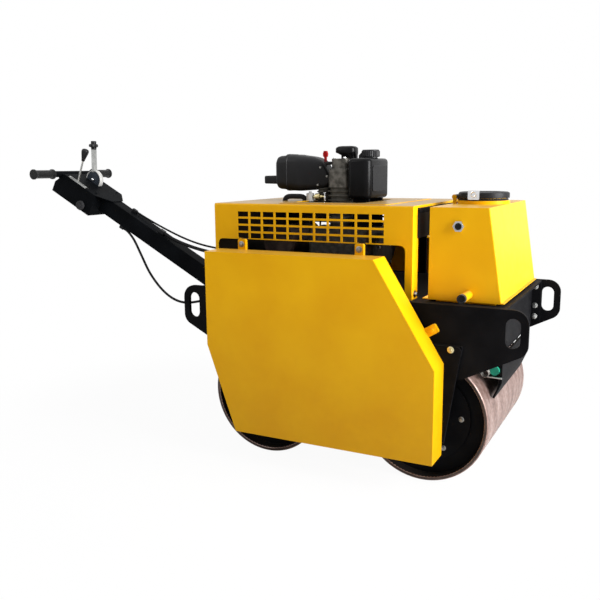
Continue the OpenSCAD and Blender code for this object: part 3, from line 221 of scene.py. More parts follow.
# %% Moulded plastics and rubber
WEAR_MM = 45


def moulded(name, tone, rough, grain_mm, strength, sheen=0.0, gloss=0.1, rib_mm=0.0):
    """Grain as a noise; with rib_mm also rings along Y: height 0.5 + 0.5 sin(2 pi y / rib_mm)."""
    finish, tree, shader, place = start_finish(name, "moulded, with the mould's grain", IOR=1.48,
                                               Sheen_Weight=sheen, Specular_IOR_Level=gloss)
    height = noise(tree, place, grain_mm, 2.0)
    wear = noise(tree, place, WEAR_MM, 4.0)
    dark = "#" + "".join(f"{int(int(tone[i:i + 2], 16) * 0.8):02X}" for i in (1, 3, 5))
    colour = ramp(tree, wear, [(0.35, dark), (0.65, tone)])
    if rib_mm:
        # the wave texture's phase is 20 times its scale times y
        inputs = {"Vector": place, "Scale": math.pi * per_mm(rib_mm) / 10}
        ribs = add_node(tree, "TexWave", inputs, bands_direction="Y").outputs["Fac"]
        height = arithmetic(tree, "ADD", height, ribs)
    surface(tree, shader, colour, wear, (rough - 0.08, rough + 0.1), height, strength, 0.0006)
    return finish


PLASTIC = moulded("moulded_black_polypropylene", "#1B1B1D", 0.42, 2.5, 0.25, gloss=0.2)
TANK_PLASTIC = moulded("blown_black_polyethylene", "#0F0F11", 0.24, 6, 0.08)
CAP_PLASTIC = moulded("dark_cap_plastic", "#2A2A2C", 0.34, 3, 0.15, gloss=0.2)
RUBBER = moulded("black_grip_rubber", "#121213", 0.62, 1.8, 0.3, sheen=0.2)
RIBBED = moulded("ribbed_grip_rubber", "#161617", 0.55, 1.8, 1.0, sheen=0.2, rib_mm=6)
SHEATH = moulded("black_pvc_sheath", "#151517", 0.4, 3, 0.15)
GREEN = moulded("green_polypropylene", "#2A9478", 0.4, 3, 0.15)
GREY_PIPE = moulded("grey_water_pipe", "#B9B9B2", 0.4, 5, 0.1)
RED = moulded("red_enamel", "#C0161A", 0.3, 8, 0.05)
QUADRANT = moulded("blue_grey_enamel", "#39404A", 0.35, 8, 0.05, gloss=0.3)
PLUG_GREY = moulded("dark_grey_plug_rubber", "#3C3C3E", 0.5, 2, 0.2)
# painted shade: the hood's dark inside, where little light reaches
HOOD_INSIDE_SHADE = moulded("dark_brown_painted_shade", "#241B10", 0.6, 4, 0.2)

# %% [markdown]
# Every fitting below is a surface on a grid: a profile carried round an axis, a ring carried along a path, or
# a stack of outlines. A shape is kept as its points and its faces, in millimetres about its own origin, so
# that one bolt can be copied to many places before it becomes a mesh. Faces run anticlockwise seen from
# outside.

# %% Helpers for shapes
ROUND = 8  # points on each rounded corner of a moulded outline


def angles(count):
    """Evenly round the circle: 2 pi k / count."""
    return np.arange(count) * 2 * np.pi / count


def grid_faces(rows, cols, close_rows=False):
    """Four corners of each cell, (i, j), (i, j + 1), (i + 1, j + 1), (i + 1, j); the columns always close up."""
    i, j = np.meshgrid(np.arange(rows if close_rows else rows - 1), np.arange(cols), indexing="ij")
    corner = lambda a, b: (a % rows) * cols + b % cols
    return np.stack([corner(i, j), corner(i, j + 1), corner(i + 1, j + 1), corner(i + 1, j)], -1).reshape(-1, 4)


def stacked(rings, closed=False):
    """Rings of equally many points, joined side by side. The last meets the first, or flat faces close both ends."""
    points = np.asarray(rings, float)
    rows, cols = points.shape[:2]
    ends = [np.arange(cols)[None, ::-1], np.arange((rows - 1) * cols, rows * cols)[None]]
    return points.reshape(-1, 3), [grid_faces(rows, cols, closed)] + ([] if closed else ends)


def lathe(profile, sides=24, lobes=0, lobe_depth=0.0, closed=False):
    """x = r cos a, y = r sin a, z = h for each (r, h) of the profile; lobes scale r by 1 + depth cos(lobes a).
    A closed profile's last ring meets its first."""
    r, h = np.asarray(profile, float).T
    a = angles(sides)
    wave = 1 + lobe_depth * np.cos(lobes * a)
    heights = np.repeat(h[:, None], sides, 1)
    return stacked(np.stack([np.outer(r, np.cos(a) * wave), np.outer(r, np.sin(a) * wave), heights], -1), closed)


def tube(path, radius, sides=14, aside=(0, 1, 0), closed=False):
    """A ring about each point of the path: centre + r cos a along one side + r sin a along the other.
    The sides are square to the path's direction; aside is any direction that the path never takes."""
    path = np.asarray(path, float)
    along = np.roll(path, -1, 0) - np.roll(path, 1, 0) if closed else np.gradient(path, axis=0)
    along /= np.linalg.norm(along, axis=1, keepdims=True)
    one = np.cross(np.asarray(aside, float), along)
    one /= np.linalg.norm(one, axis=1, keepdims=True)
    two = np.cross(along, one)
    a = angles(sides)[None, :, None]
    r = np.broadcast_to(np.asarray(radius, float), len(path))[:, None, None]
    return stacked(path[:, None] + r * (np.cos(a) * one[:, None] + np.sin(a) * two[:, None]), closed)


def raised(outline, z):
    """A flat outline's points at one height."""
    return np.c_[outline, np.full(len(outline), float(z))]


def prism(outline, height):
    """An outline drawn anticlockwise, carried up from z = 0 to the height, with flat ends."""
    return stacked([raised(outline, 0), raised(outline, height)])


def round_box(width, depth, radius, steps=5):
    """A rectangle about the origin whose corners are quarter circles: corner centre + r (cos a, sin a)."""
    a = np.linspace(0, np.pi / 2, steps)
    turn = np.concatenate([a + k * np.pi / 2 for k in range(4)])
    cx = np.repeat([1, -1, -1, 1], steps) * (width / 2 - radius)
    cy = np.repeat([1, 1, -1, -1], steps) * (depth / 2 - radius)
    return np.stack([cx + radius * np.cos(turn), cy + radius * np.sin(turn)], 1)


def aim(shape, axis):
    """Turn a shape's own Z to the axis: x * side + y * other + z * axis, with the side level where it can be."""
    points, faces = shape
    z = np.asarray(axis, float) / np.linalg.norm(axis)
    x = np.cross((0, 0, 1) if abs(z[2]) < 0.95 else (0, 1, 0), z)
    x /= np.linalg.norm(x)
    return points @ np.stack([x, np.cross(z, x), z]), faces


def copies(shape, spots):
    """The same shape at each spot: its points plus the spot, its face numbers plus the points that came before."""
    points, faces = shape
    spots = np.asarray(spots, float).reshape(-1, 3)
    moved = (points[None] + spots[:, None]).reshape(-1, 3)
    shift = np.arange(len(spots))[:, None, None] * len(points)
    return moved, [(f[None] + shift).reshape(-1, f.shape[1]) for f in faces]


def together(*shapes):
    """Several shapes as one: points stacked, face numbers moved on by the points before them."""
    before = np.cumsum([0] + [len(s[0]) for s in shapes])
    return (np.concatenate([s[0] for s in shapes]),
            [f + n for s, n in zip(shapes, before) for f in s[1]])


def put(name, shape, finish, body, to_frame=at, sharp=38):
    """Make the mesh in metres, smooth its faces except over edges sharper than the angle, and fix it to a body."""
    points, faces = shape
    data = bpy.data.meshes.new(name)
    data.from_pydata(to_frame(points).tolist(), [], [f for group in faces for f in np.asarray(group).tolist()])
    data.polygons.foreach_set("use_smooth", [True] * len(data.polygons))
    data.set_sharp_from_angle(angle=math.radians(sharp))
    data.materials.append(finish)
    piece = bpy.data.objects.new(name, data)
    bpy.context.scene.collection.objects.link(piece)
    if body:
        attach(piece, body)
    print("made", name, "with", len(data.polygons), "faces")
    return piece


# %% [markdown]
# Three cables run from glands in the hood and the frame to the tiller: the throttle cable, a thicker control
# hose just below it, and one that hangs in a loop. Each is a smooth tube through the drawing's own points.
# A moulded boot tapers off each gland.

# %% Cables
BOOT = 34  # length of a boot


def smooth_route(points, steps=8):
    """Between b and c, with neighbours a and d: (2b + (c-a)t + (2a-5b+4c-d)t2 + (3b-a-3c+d)t3) / 2."""
    p = np.asarray(points, float)
    p = np.concatenate([p[:1], p, p[-1:]])
    a, b, c, d = (p[k:len(p) - 3 + k, None] for k in range(4))
    t = (np.arange(steps) / steps)[None, :, None]
    q = (2 * b + (c - a) * t + (2 * a - 5 * b + 4 * c - d) * t ** 2 + (3 * b - a - 3 * c + d) * t ** 3) / 2
    return np.concatenate([q.reshape(-1, p.shape[1]), p[-1:]])


# thickness, and the route from the tiller to the gland
CABLES = {
    "throttle_cable": (8, [
        [-1102, 12, 833], [-1068, 13, 815], [-1004, 14, 785], [-930, 10, 756], [-860, 2, 733],
        [-790, -10, 716], [-720, -20, 704], [-640, -28, 696], [-560, -30, 692], [-519, -30, 692]]),
    "control_hose": (14, [
        [-941, -10, 747], [-905, -12, 729], [-850, -16, 711], [-790, -24, 697],
        [-720, -36, 686], [-640, -50, 678], [-560, -60, 674], [-519, -60, 674]]),
    "hanging_cable": (10, [
        [-1155, -16, 762], [-1128, -18, 746], [-1092, -26, 712], [-1046, -42, 655],
        [-989, -60, 583], [-920, -76, 523], [-850, -90, 488], [-780, -100, 478],
        [-700, -110, 492], [-610, -120, 514], [-560, -122, 520], [-535, -122, 520]]),
}
for name, (thick, route) in CABLES.items():
    line = smooth_route(route)
    cable = put(name + "_sheath", tube(line, thick / 2, 16), SHEATH, None)
    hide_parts(name)
    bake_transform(cable)
    steps = np.linalg.norm(np.diff(line, axis=0), axis=1)
    from_gland = np.concatenate([[0], np.cumsum(steps[::-1])])
    booted = from_gland < BOOT
    radius = thick / 2 + np.interp(from_gland[booted], [0, 4, 30, BOOT], [4, 4, 1.2, 0.7])
    put(name + "_boot", tube(line[::-1][booted], radius, 18), RUBBER, "chassis")
    print(name, "is", round(steps.sum()), "mm long")

# %% [markdown]
# The yellow is a sprayed enamel over folded sheet. Sprayed paint is never quite flat: it has a fine orange
# peel and slightly uneven cover. Low down it darkens with grime and painted shade, and on top it greys with dust
# and painted shade. The gloss comes from a thin film.


# %% Sprayed yellow enamel
def yellow_enamel(name, dust):
    """Two close yellows in clouds, darker low down as grime and painted shade; grey-brown dust and painted shade on
    what faces up.
    """
    finish, tree, shader, place = start_finish(name, "gloss paint with orange peel", IOR=1.5,
                                               Specular_IOR_Level=0.1, Coat_Weight=0.04, Coat_Roughness=0.14)
    film = noise(tree, place, 26, 4.0)
    colour = ramp(tree, noise(tree, place, 160, 3.0), [(0.3, "#E8A909"), (0.7, "#F0B50D")])
    height = add_node(tree, "SeparateXYZ", {"Vector": place}).outputs["Z"]
    # painted shade: darker towards the ground, mottled like grime
    low = spread(tree, height, 0.9, 0.0, **{"From Min": 0.09, "From Max": 0.62})
    low_grime_and_shade = arithmetic(tree, "MULTIPLY", low, spread(tree, film, 0.44, 0.56))
    colour = mix_in(tree, low_grime_and_shade, colour, "#8F6208")
    # grey-brown on what faces up: dust, and painted shade on the tops
    colour = mix_in(tree, lying_dust(tree, 0.6, dust), colour, "#9A8562")
    # orange peel is about 2 mm; drawn at 5 mm so that it shows
    surface(tree, shader, colour, film, (0.26, 0.4), noise(tree, place, 5, 1.0), 0.06, 0.001)
    return finish


YELLOW = yellow_enamel("sprayed_yellow_enamel", 0.25)
# more grey-brown on top: dust, and a painted reflection of the dark engine on the hood's top
TOP_DUST_AND_REFLECTION_YELLOW = yellow_enamel("yellow_enamel_dust_and_painted_reflection", 0.72)

# %% [markdown]
# Frame plates and the tiller are brushed or sprayed with black paint. It is a very dark grey rather than black,
# with a coarse texture from the plate below. The plates' coat is satin, with thin grey dust on what faces up;
# the tiller's is smoother and clean.


# %% Satin black plate paint
def black_plate_paint(name, tones, rough, grain_mm, dust, gloss):
    """Two dark tones in clouds, with grains of dust on what faces up; the same grain roughens the paint."""
    finish, tree, shader, place = start_finish(name, "satin paint with fine dust", IOR=1.5, Specular_IOR_Level=gloss)
    grain = noise(tree, place, grain_mm, 5.0)
    colour = ramp(tree, noise(tree, place, 90, 3.0), [(0.35, tones[0]), (0.7, tones[1])])
    settled = arithmetic(tree, "MULTIPLY", lying_dust(tree, 0.4, dust), grain)
    surface(tree, shader, mix_in(tree, settled, colour, "#7F776B"), grain, rough, grain, 0.12, 0.001)
    return finish


BLACK = black_plate_paint("satin_black_paint", ("#0C0C0E", "#151517"), (0.5, 0.7), 7, 0.1, 0.03)
CONSOLE_BLACK = black_plate_paint("gloss_black_paint", ("#090A0C", "#101215"), (0.4, 0.56), 9, 0.0, 0.02)

# %% [markdown]
# The drums are bare rolled plate. Rolling polishes bands round them, a film of brown rust settles between,
# and fine scratches run round the drum. The pattern is a noise about the axle, stretched four times across
# the axle and not along it, so that its lumps lie round the drum as bands.


# %% Rolled drum steel
def drum_steel(name, axle_x):
    """Bands and specks, 55 to 45, choose a tone from rust brown to polished grey; fine bands roughen it."""
    finish, tree, shader, place = start_finish(name, "bare rolled plate, polished in bands", Metallic=0.55)
    axle = tuple(at([axle_x, 0, AXLE_Z]))
    away = add_node(tree, "VectorMath", {0: place, 1: axle}, operation="SUBTRACT").outputs["Vector"]
    bands = add_node(tree, "Mapping", {"Vector": away, "Scale": (0.25, 1.0, 0.25)}).outputs["Vector"]
    wide, fine = noise(tree, bands, 55, 3.0), noise(tree, bands, 6, 4.0)
    speck = noise(tree, away, 14, 6.0, Roughness=0.65)
    both = add_node(tree, "Mix", {"Factor": 0.45, 2: wide, 3: speck}).outputs[0]
    colour = ramp(tree, both, [(0.34, "#503A33"), (0.46, "#7A6058"), (0.56, "#957D76"), (0.68, "#B29E98")])
    surface(tree, shader, colour, fine, (0.32, 0.56), fine, 0.2, 0.0008)
    return finish


FRONT_DRUM_STEEL = drum_steel("rolled_steel_front", AXLE_X)
REAR_DRUM_STEEL = drum_steel("rolled_steel_rear", -AXLE_X)

# %% [markdown]
# Bolts and levers are zinc plated, the latch is chromed, the engine is cast aluminium that dulls to
# a warm grey, and the exhaust is sheet steel stained by heat.


# %% Metals
def plain_metal(name, note, tones, rough, grain_mm, strength, metallic=1.0):
    """Two tones in clouds nine grains wide, and a grain that roughens and dents the face."""
    finish, tree, shader, place = start_finish(name, note, Metallic=metallic)
    grain = noise(tree, place, grain_mm, 5.0)
    colour = ramp(tree, noise(tree, place, grain_mm * 9, 3.0), [(0.35, tones[0]), (0.65, tones[1])])
    surface(tree, shader, colour, grain, (rough - 0.08, rough + 0.1), grain, strength, 0.0006)
    return finish


ZINC = plain_metal("zinc_plated_steel", "bright bolts and levers", ("#A9AAA8", "#C9CAC8"), 0.32, 6, 0.05)
CHROME = plain_metal("chromed_latch_steel", "polished plate", ("#D6D7DA", "#E6E7E9"), 0.14, 12, 0.02)
TURNED = plain_metal("turned_axle_steel", "turned and oiled", ("#7C7B78", "#93918D"), 0.36, 3, 0.08)
CAST = plain_metal("sand_cast_aluminium", "grainy casting, dulled", ("#3B3933", "#55524A"), 0.55, 2.2, 0.35, 0.5)
HOT = plain_metal("heat_stained_sheet_steel", "scale and brown stain", ("#3A2E28", "#5A4A41"), 0.6, 5, 0.3, 0.6)
BRIGHT_CAST = plain_metal("fresh_cast_aluminium", "rocker cover casting", ("#403E39", "#696660"), 0.42, 2.2, 0.3, 0.7)
RIM = plain_metal("rusted_rim_steel", "dull rolled edge", ("#2E2521", "#4A3C36"), 0.6, 5, 0.2, 0.3)
GILT = plain_metal("yellow_passivated_steel", "pale gold bolts and unions", ("#B3A67C", "#D6CEA6"), 0.34, 4, 0.08)
PALE = moulded("pale_nylon", "#DCDCDA", 0.4, 4, 0.08)

# %% [markdown]
# Each CAD piece keeps its own mesh. It gets its finish, smooth shading, and a narrow bevel as a modifier,
# because real sheet and plate never has a knife edge: the bevel catches the light along every fold.

# %% Finish of each CAD piece
FINISHES = {
    BLACK: "side_plate_right side_plate_left front_cross_plate rear_cross_plate bed_plate drum_hangers scrapers "
           "front_hub_plates rear_hub_plates",
    CONSOLE_BLACK: "tiller_arm console handlebar",
    YELLOW: "hood cover_right cover_left tank_body tank_top",
    PLASTIC: "tank_lid recoil_housing air_cleaner cable_glands cable_clips lever_knobs",
    TANK_PLASTIC: "fuel_tank breather_cap",
    PLUG_GREY: "console_plug",
    QUADRANT: "lever_quadrant",
    CAP_PLASTIC: "fuel_cap",
    CAST: "crankcase finned_cylinder",
    BRIGHT_CAST: "cylinder_head",
    TURNED: "axle_stubs",
    ZINC: "tiller_pin control_levers",
    CHROME: "tank_fittings",
    HOT: "exhaust",
    RED: "decompression_lever",
    GREY_PIPE: "sprinkler_pipes",
    GREEN: "sprinkler_caps",
    RIBBED: "grips",
    FRONT_DRUM_STEEL: "front_drum",
    REAR_DRUM_STEEL: "rear_drum",
    SHEATH: "throttle_cable control_hose hanging_cable",
}
# a bevel is 1 mm wide unless it is named here
BEVEL_MM = {
    "hood": 0.8, "tank_body": 1.2, "tank_top": 0.8, "cover_right": 1.6, "cover_left": 1.6,
    "finned_cylinder": 0.6, "crankcase": 3.0, "fuel_cap": 2.0,
    "console": 2.0, "tiller_arm": 3.0, "control_levers": 0.7, "lever_quadrant": 0.6,
}
BEVEL_ANGLE = math.radians(32)
WELD_WITHIN = 0.00002
dressed = 0
for finish, names in FINISHES.items():
    for name in names.split():
        piece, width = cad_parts[name], BEVEL_MM.get(name, 1.0)
        piece.data.materials.clear()
        piece.data.materials.append(finish)
        piece.data.polygons.foreach_set("use_smooth", [True] * len(piece.data.polygons))
        piece.modifiers.new("join loose triangles", "WELD").merge_threshold = WELD_WITHIN
        bevel = piece.modifiers.new("worn edge", "BEVEL")
        bevel.width, bevel.segments = width / 1000, 4 if width > 2 else 2
        bevel.limit_method, bevel.angle_limit = "ANGLE", BEVEL_ANGLE
        piece.modifiers.new("flat faces stay flat", "WEIGHTED_NORMAL").keep_sharp = True
        dressed += 1
print("dressed", dressed, "CAD pieces")

# %% [markdown]
# Some pieces have a second finish: the drums' recessed ends are black as painted shade inside a dull rim, the
# hood's inside is dark brown as painted shade, its top carries dust and a painted reflection of the engine, and
# the crankcase's neck, the outlet pipe's end, the red lever's foot and the guard's edge differ too. Faces are
# chosen by where their middles lie, in metres.

# %% Second finishes
HAIR = 0.00005  # how near a face has to be to count as outer
SHEET = 0.003  # the hood's thickness
DRUM_END, DRUM_RECESS = 0.2995, 0.2  # from the machine's middle, and from the axle
CRANKCASE_NECK, OUTLET_END = 0.81, -0.33
GUARD_EDGE = 0.0393


def second_finish(name, finish, chosen):
    """Faces whose middles (an array of x, y, z) pass the test get one more finish; no vertex moves."""
    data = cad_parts[name].data
    data.materials.append(finish)
    middles = np.empty(len(data.polygons) * 3)
    data.polygons.foreach_get("center", middles)
    picked = chosen(middles.reshape(-1, 3))
    index = np.empty(len(data.polygons), np.int32)
    data.polygons.foreach_get("material_index", index)
    data.polygons.foreach_set("material_index", np.where(picked, len(data.materials) - 1, index).astype(np.int32))
    print("second finish on", int(picked.sum()), "faces of", name)


for name, axle_x in DRUM_AXLES.items():
    axle = at([axle_x, 0, AXLE_Z])[::2]
    second_finish(name, RIM, lambda m: np.abs(m[:, 1]) > DRUM_END)
    # painted shade: the drums' recessed ends are black where they lie in shade
    second_finish(name, BLACK, lambda m: np.linalg.norm(m[:, ::2] - axle, axis=1) < DRUM_RECESS)
low, high = np.asarray(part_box("hood"))
skin = SHEET - HAIR
# painted shade on the hood's inner faces
second_finish("hood", HOOD_INSIDE_SHADE, lambda m: np.all((m > low + skin) & (m < high - skin), axis=1))
# dust and a painted reflection of the dark engine on the hood's top
second_finish("hood", TOP_DUST_AND_REFLECTION_YELLOW, lambda m: m[:, 2] > high[2] - HAIR)
second_finish("crankcase", BLACK, lambda m: m[:, 2] > CRANKCASE_NECK)
second_finish("tank_fittings", RUBBER, lambda m: m[:, 1] < OUTLET_END)
foot, head = (c[2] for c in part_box("decompression_lever"))
second_finish("decompression_lever", PLASTIC, lambda m: m[:, 2] < foot + 0.4 * (head - foot))
hub = on_tiller(TRAVEL_LEVER)[::2]
second_finish("lever_quadrant", PALE, lambda m: np.linalg.norm(m[:, ::2] - hub, axis=1) > GUARD_EDGE)

# %% [markdown]
# Bolts hold the covers, hangers, hub plates and cross plates. A hexagon head is a lathe shape with six sides
# and a small chamfer, mostly standing on a round washer. Some are zinc plated, some plain or gold-coloured,
# and the one on each cover's low tab was sprayed over with the yellow.

# %% Bolts
TAB_Y, HANGER_Y, CROSS_PLATE_Y, HUB_Y = 345, 341, 311, 270  # the faces that the heads stand on
CROSS_PLATE_X = 527
HUB_RING, HUB_TURN = 120, math.radians(2)


def hexagon_bolt(flats, washer=True):
    """A washer of 1.06 flats radius and a six-sided head 0.64 flats high, chamfered above; flats in millimetres."""
    r = flats / math.sqrt(3)
    foot = 0.16 * flats if washer else 0.0
    head = lathe([(0.92 * r, foot - 0.3), (r, foot + 0.3), (r, foot + 0.5 * flats),
                  (0.86 * r, foot + 0.62 * flats), (0.3 * r, foot + 0.64 * flats)], 6)
    if not washer:
        return head
    disc = lathe([(1.02 * flats, 0), (1.06 * flats, 0.04 * flats), (1.06 * flats, 0.12 * flats),
                  (1.0 * flats, foot), (0.4 * flats, foot)], 26)
    return together(disc, head)


def bolts(name, flats, spots, axis, finish, body="chassis", washer=True):
    """The same bolt at each spot, standing along the axis."""
    return put(name, copies(aim(hexagon_bolt(flats, washer), axis), spots), finish, body)


for side, word in SIDES:
    out, inward = (0, side, 0), (0, -side, 0)
    on_top_tabs = [(x, side * TAB_Y, 757) for x in (-354, 84)]
    on_hangers = [(end * AXLE_X + dx, side * HANGER_Y, 460) for end in ENDS for dx in (98, -98)]
    on_cross_plates = [(end * CROSS_PLATE_X, side * CROSS_PLATE_Y, z) for end in ENDS for z in (458, 499, 571)]
    bolts(f"cover_bolts_{word}", 10, on_top_tabs, out, TURNED)
    bolts(f"cover_low_bolt_{word}", 11, [(330, side * TAB_Y, 518)], out, YELLOW)
    bolts(f"hanger_bolts_{word}", 10, on_hangers, out, GILT)
    bolts(f"cross_plate_bolts_{word}", 10, on_cross_plates, inward, ZINC)
    for drum, axle_x in DRUM_AXLES.items():
        a = angles(6) + HUB_TURN
        ring = np.stack([axle_x + HUB_RING * np.cos(a), 0 * a + side * HUB_Y, AXLE_Z + HUB_RING * np.sin(a)], 1)
        bolts(f"{drum}_hub_bolts_{word}", 9, ring, out, TURNED, drum)
bolts("hood_flange_bolts", 12, [(HOOD_FRONT, y, 612) for y in (-262, 262)], (1, 0, 0), ZINC)

# %% [markdown]
# Where plates were joined by hand there is a weld bead: a rounded seam whose puddles overlap every few
# millimetres. It is a tube along the joint whose radius rises and falls with the distance along it.

# %% Weld beads
BEAD_STEP, PUDDLE = 1.5, 6


def bead(corners, radius, aside):
    """Points every 1.5 mm along straight stretches; radius (1 + 0.16 sin(2 pi s / 6 mm))."""
    c = np.asarray(corners, float)
    s = np.concatenate([[0], np.cumsum(np.linalg.norm(np.diff(c, axis=0), axis=1))])
    t = np.arange(0, s[-1], BEAD_STEP)
    path = np.stack([np.interp(t, s, c[:, k]) for k in range(3)], 1)
    return tube(path, radius * (1 + 0.16 * np.sin(2 * np.pi * t / PUDDLE)), 8, aside)


WELD_Y = 331.5
HANGER_EDGE = [(-127, 440), (-131, 470), (131, 470), (127, 440)]  # from the axle, and above the ground
for side, word in SIDES:
    corners = [[(end * AXLE_X + dx, side * WELD_Y, z) for dx, z in HANGER_EDGE] for end in ENDS]
    seams = together(*[bead(c, 3.2, (0.1, 1, 0.1)) for c in corners])
    put(f"hanger_welds_{word}", seams, BLACK, "chassis", sharp=180)
neck = together(*[bead([(-768, y, 34), (-717, y, 34)], 2.6, (0.1, 0, 1)) for y in (-31, 31)])
put("console_welds", neck, CONSOLE_BLACK, "tiller", to_frame=on_tiller, sharp=180)
print("weld beads run round the hangers and along the console's tongue")

# %% [markdown]
# The tiller's head: a travel lever with a lobed knob in front of a half-round guard with a pale rim,
# a throttle lever with a pear-shaped knob and its slot, a round plug in the console's side and screws in its
# lid.


# %% Knobs, guard rim and console fittings
def knob(shape, lift, foot, lean):
    """A shape lifted along its lever, turned by a lean about Y and moved to a foot that is measured on the tiller."""
    return turned(shape[0] + np.array([0, 0, lift]), lean) / 1000 + on_tiller(foot), shape[1]


star = together(
    lathe([(10.9, 0), (11.6, 1), (12, 8), (11.4, 9.2), (9, 9.7)], 30),
    lathe([(10, 8.8), (15.6, 10.2), (18.5, 12.4), (19, 16.8), (18.5, 21.2), (15.6, 23.8), (10, 25)], 60, 5, 0.1),
    lathe([(9, 24.2), (11.6, 25), (11.8, 34.4), (10.6, 36.5), (6.6, 37)], 30))
pear = lathe([(6.2, 0), (6.7, 1.2), (7.7, 7), (9.8, 16.4), (12.5, 27), (14.8, 36.4), (15.5, 42.3), (14.9, 47.5),
              (12.2, 51.6), (7.4, 53.7), (1.8, 54)], 32)
knobs = together(knob(star, 131, TRAVEL_LEVER, math.radians(2)), knob(pear, 99, THROTTLE_LEVER, math.radians(22)))
knobs = put("lever_knobs_moulded", knobs, PLASTIC, "tiller", to_frame=np.asarray)
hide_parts("lever_knobs")

GUARD_R, GUARD_HALF = 39, 8.5  # the guard's radius and half its width
lever_x, lever_y, lever_z = TRAVEL_LEVER
a = np.radians(np.linspace(-15, 195, 60))
arc = np.stack([lever_x + GUARD_R * np.cos(a), 0 * a, lever_z + GUARD_R * np.sin(a)], 1)
rims = copies(tube(arc, 2.2, 10), [(0, lever_y + end * GUARD_HALF, 0) for end in ENDS])
put("guard_rim", rims, PALE, "tiller", to_frame=on_tiller)
pivot = lathe([(6, 0), (6.6, 0.5), (6.4, 2), (5, 3.8), (2.4, 4.8), (0.5, 5)], 24)
pivot = copies(aim(pivot, (0, -1, 0)), [(lever_x, lever_y - 14, lever_z)])
put("lever_pivot", pivot, CHROME, "tiller", to_frame=on_tiller)
plug = lathe([(19.6, 0), (20.6, 1), (20, 3.6), (15.2, 4.1), (14.2, 2.3), (7.4, 2.3), (6.4, 4.2), (2.3, 4.6)],
             48, 6, 0.04)
plug = copies(aim(plug, (0, -1, 0)), [(-825, -92, -40)])
put("console_plug_ring", plug, PLUG_GREY, "tiller", to_frame=on_tiller)
screw = lathe([(5.6, 0), (5.8, 0.5), (5.2, 2), (3.6, 3), (1.8, 3.2), (1.7, 1.6), (0.4, 1.6)], 20)
screws = copies(screw, [(x, y, 37) for x in (-948, -790) for y in (-60, 70)])
put("console_screws", screws, CONSOLE_BLACK, "tiller", to_frame=on_tiller)
slot = copies(prism(round_box(92, 2.6, 1.2), 0.5), [(-886, -79, 42)])
put("throttle_slot", slot, CONSOLE_BLACK, "tiller", to_frame=on_tiller)

# %% [markdown]
# On the water tank: the dark end of the outlet pipe, the plug of the sight hole, a rubber ring under the lid
# and a chromed latch.

# %% Tank fittings
bore = lathe([(12.9, 0), (13.6, 0.4), (13.6, 2.6), (12.4, 3.4), (10.4, 3.2), (9.8, 1.0), (2, 0.8)], 30)
put("outlet_rim", copies(aim(bore, (0, -1, 0)), [(424, -372, 626)]), RUBBER, "chassis")
eye = lathe([(10.7, 0), (10.9, 0.5), (10.2, 1.6), (8, 1.9), (7.2, 0.9), (2.4, 0.5)], 30)
put("sight_plug_eye", copies(aim(eye, (0, -1, 0)), [(388, -296, 835)]), RUBBER, "chassis")
seal = lathe([(79, 0), (80.4, 1.2), (80.4, 4.6), (79, 6), (72.5, 6), (72.3, 3), (72.5, 0)], 64, closed=True)
put("lid_seal", copies(seal, [(394, 0, 903.4)]), RUBBER, "chassis")
a = angles(20)
pull = tube(np.stack([8 * np.cos(a), 8 * np.sin(a), 0 * a], 1), 1.9, 8, (0, 0, 1), True)
latch = together(prism(round_box(38, 30, 4), 2.4), copies(prism(round_box(20, 9, 3), 2.2), [(0, -4, 2.2)]),
                 copies(pull, [(0, 3, 5.4)]))
put("lid_latch", copies(aim(latch, (0, -1, 0)), [(380, -84.2, 922)]), CHROME, "tank_lid")

# %% [markdown]
# Round the engine there are bolts on the rocker cover and the front cover and nuts on the air cleaner.

# %% Engine bolts
ENGINE_TOP = 1047  # top of the rocker cover and of the fuel tank
on_rocker = [(-120 + dx, y, ENGINE_TOP) for dx in (-20, 20) for y in (-42, 42)]
bolts("rocker_bolts", 9, on_rocker, (0, 0, 1), ZINC, washer=False)
a = angles(6) + math.radians(30)
on_front_cover = np.stack([0 * a + 41, 64 * np.cos(a), 701.6 + 64 * np.sin(a)], 1)
bolts("front_cover_bolts", 9, on_front_cover, (1, 0, 0), ZINC, washer=False)
on_cleaner = [(-197, -38.5, 1016), (-173, -33, 984), (-206, -41, 953)]
bolts("filter_nuts", 8, on_cleaner, (0, -1, 0), TURNED, washer=False)

# %% [markdown]
# The air cleaner is moulded: a domed cover, a band where it closes, and a body that tapers to the head. It is
# drawn as rounded sections along X. Its inlet is a short square pipe with a hollow end.


# %% Air cleaner
def sections(rows):
    """One ring per (x, half width, foot, top, corner radius), drawn in Y and Z, from the first x to the last."""
    return stacked([np.c_[np.full(4 * ROUND, x), round_box(2 * half, top - foot, r, ROUND) + [0, (foot + top) / 2]]
                    for x, half, foot, top, r in rows])


cover = [(-380, 38, 957, 1040, 18), (-378, 48, 946, 1051, 24), (-373, 54, 940, 1057, 28), (-364, 57, 937, 1060, 30),
         (-338, 58, 935, 1062, 30), (-336, 58.5, 935, 1062, 30), (-334.5, 63, 931, 1066, 32),
         (-326.5, 63.5, 930.5, 1066.5, 32)]
body = smooth_route([(-325, 61, 932, 1065, 31), (-300, 62, 931, 1064.5, 30), (-286, 61.5, 930.5, 1062, 28),
                     (-270, 58, 931, 1060, 26), (-250, 53, 932.5, 1057.5, 24), (-230, 47.5, 934, 1054, 22),
                     (-212, 43, 935.5, 1048, 20), (-197, 39.5, 937, 1040, 18), (-187, 37, 939.5, 1027, 17),
                     (-178, 35, 943, 1008, 16), (-170, 33, 950, 993, 14), (-162.4, 30, 958, 984, 10)], 3)
snout = [(-428, 13, 961, 982, 4), (-445, 14.5, 959.5, 983.5, 5), (-446, 15.5, 958.5, 984.5, 5.5),
         (-446, 17, 957.4, 985.6, 6), (-444, 18, 956.5, 986.5, 6.5), (-372, 19, 955, 988, 7)]
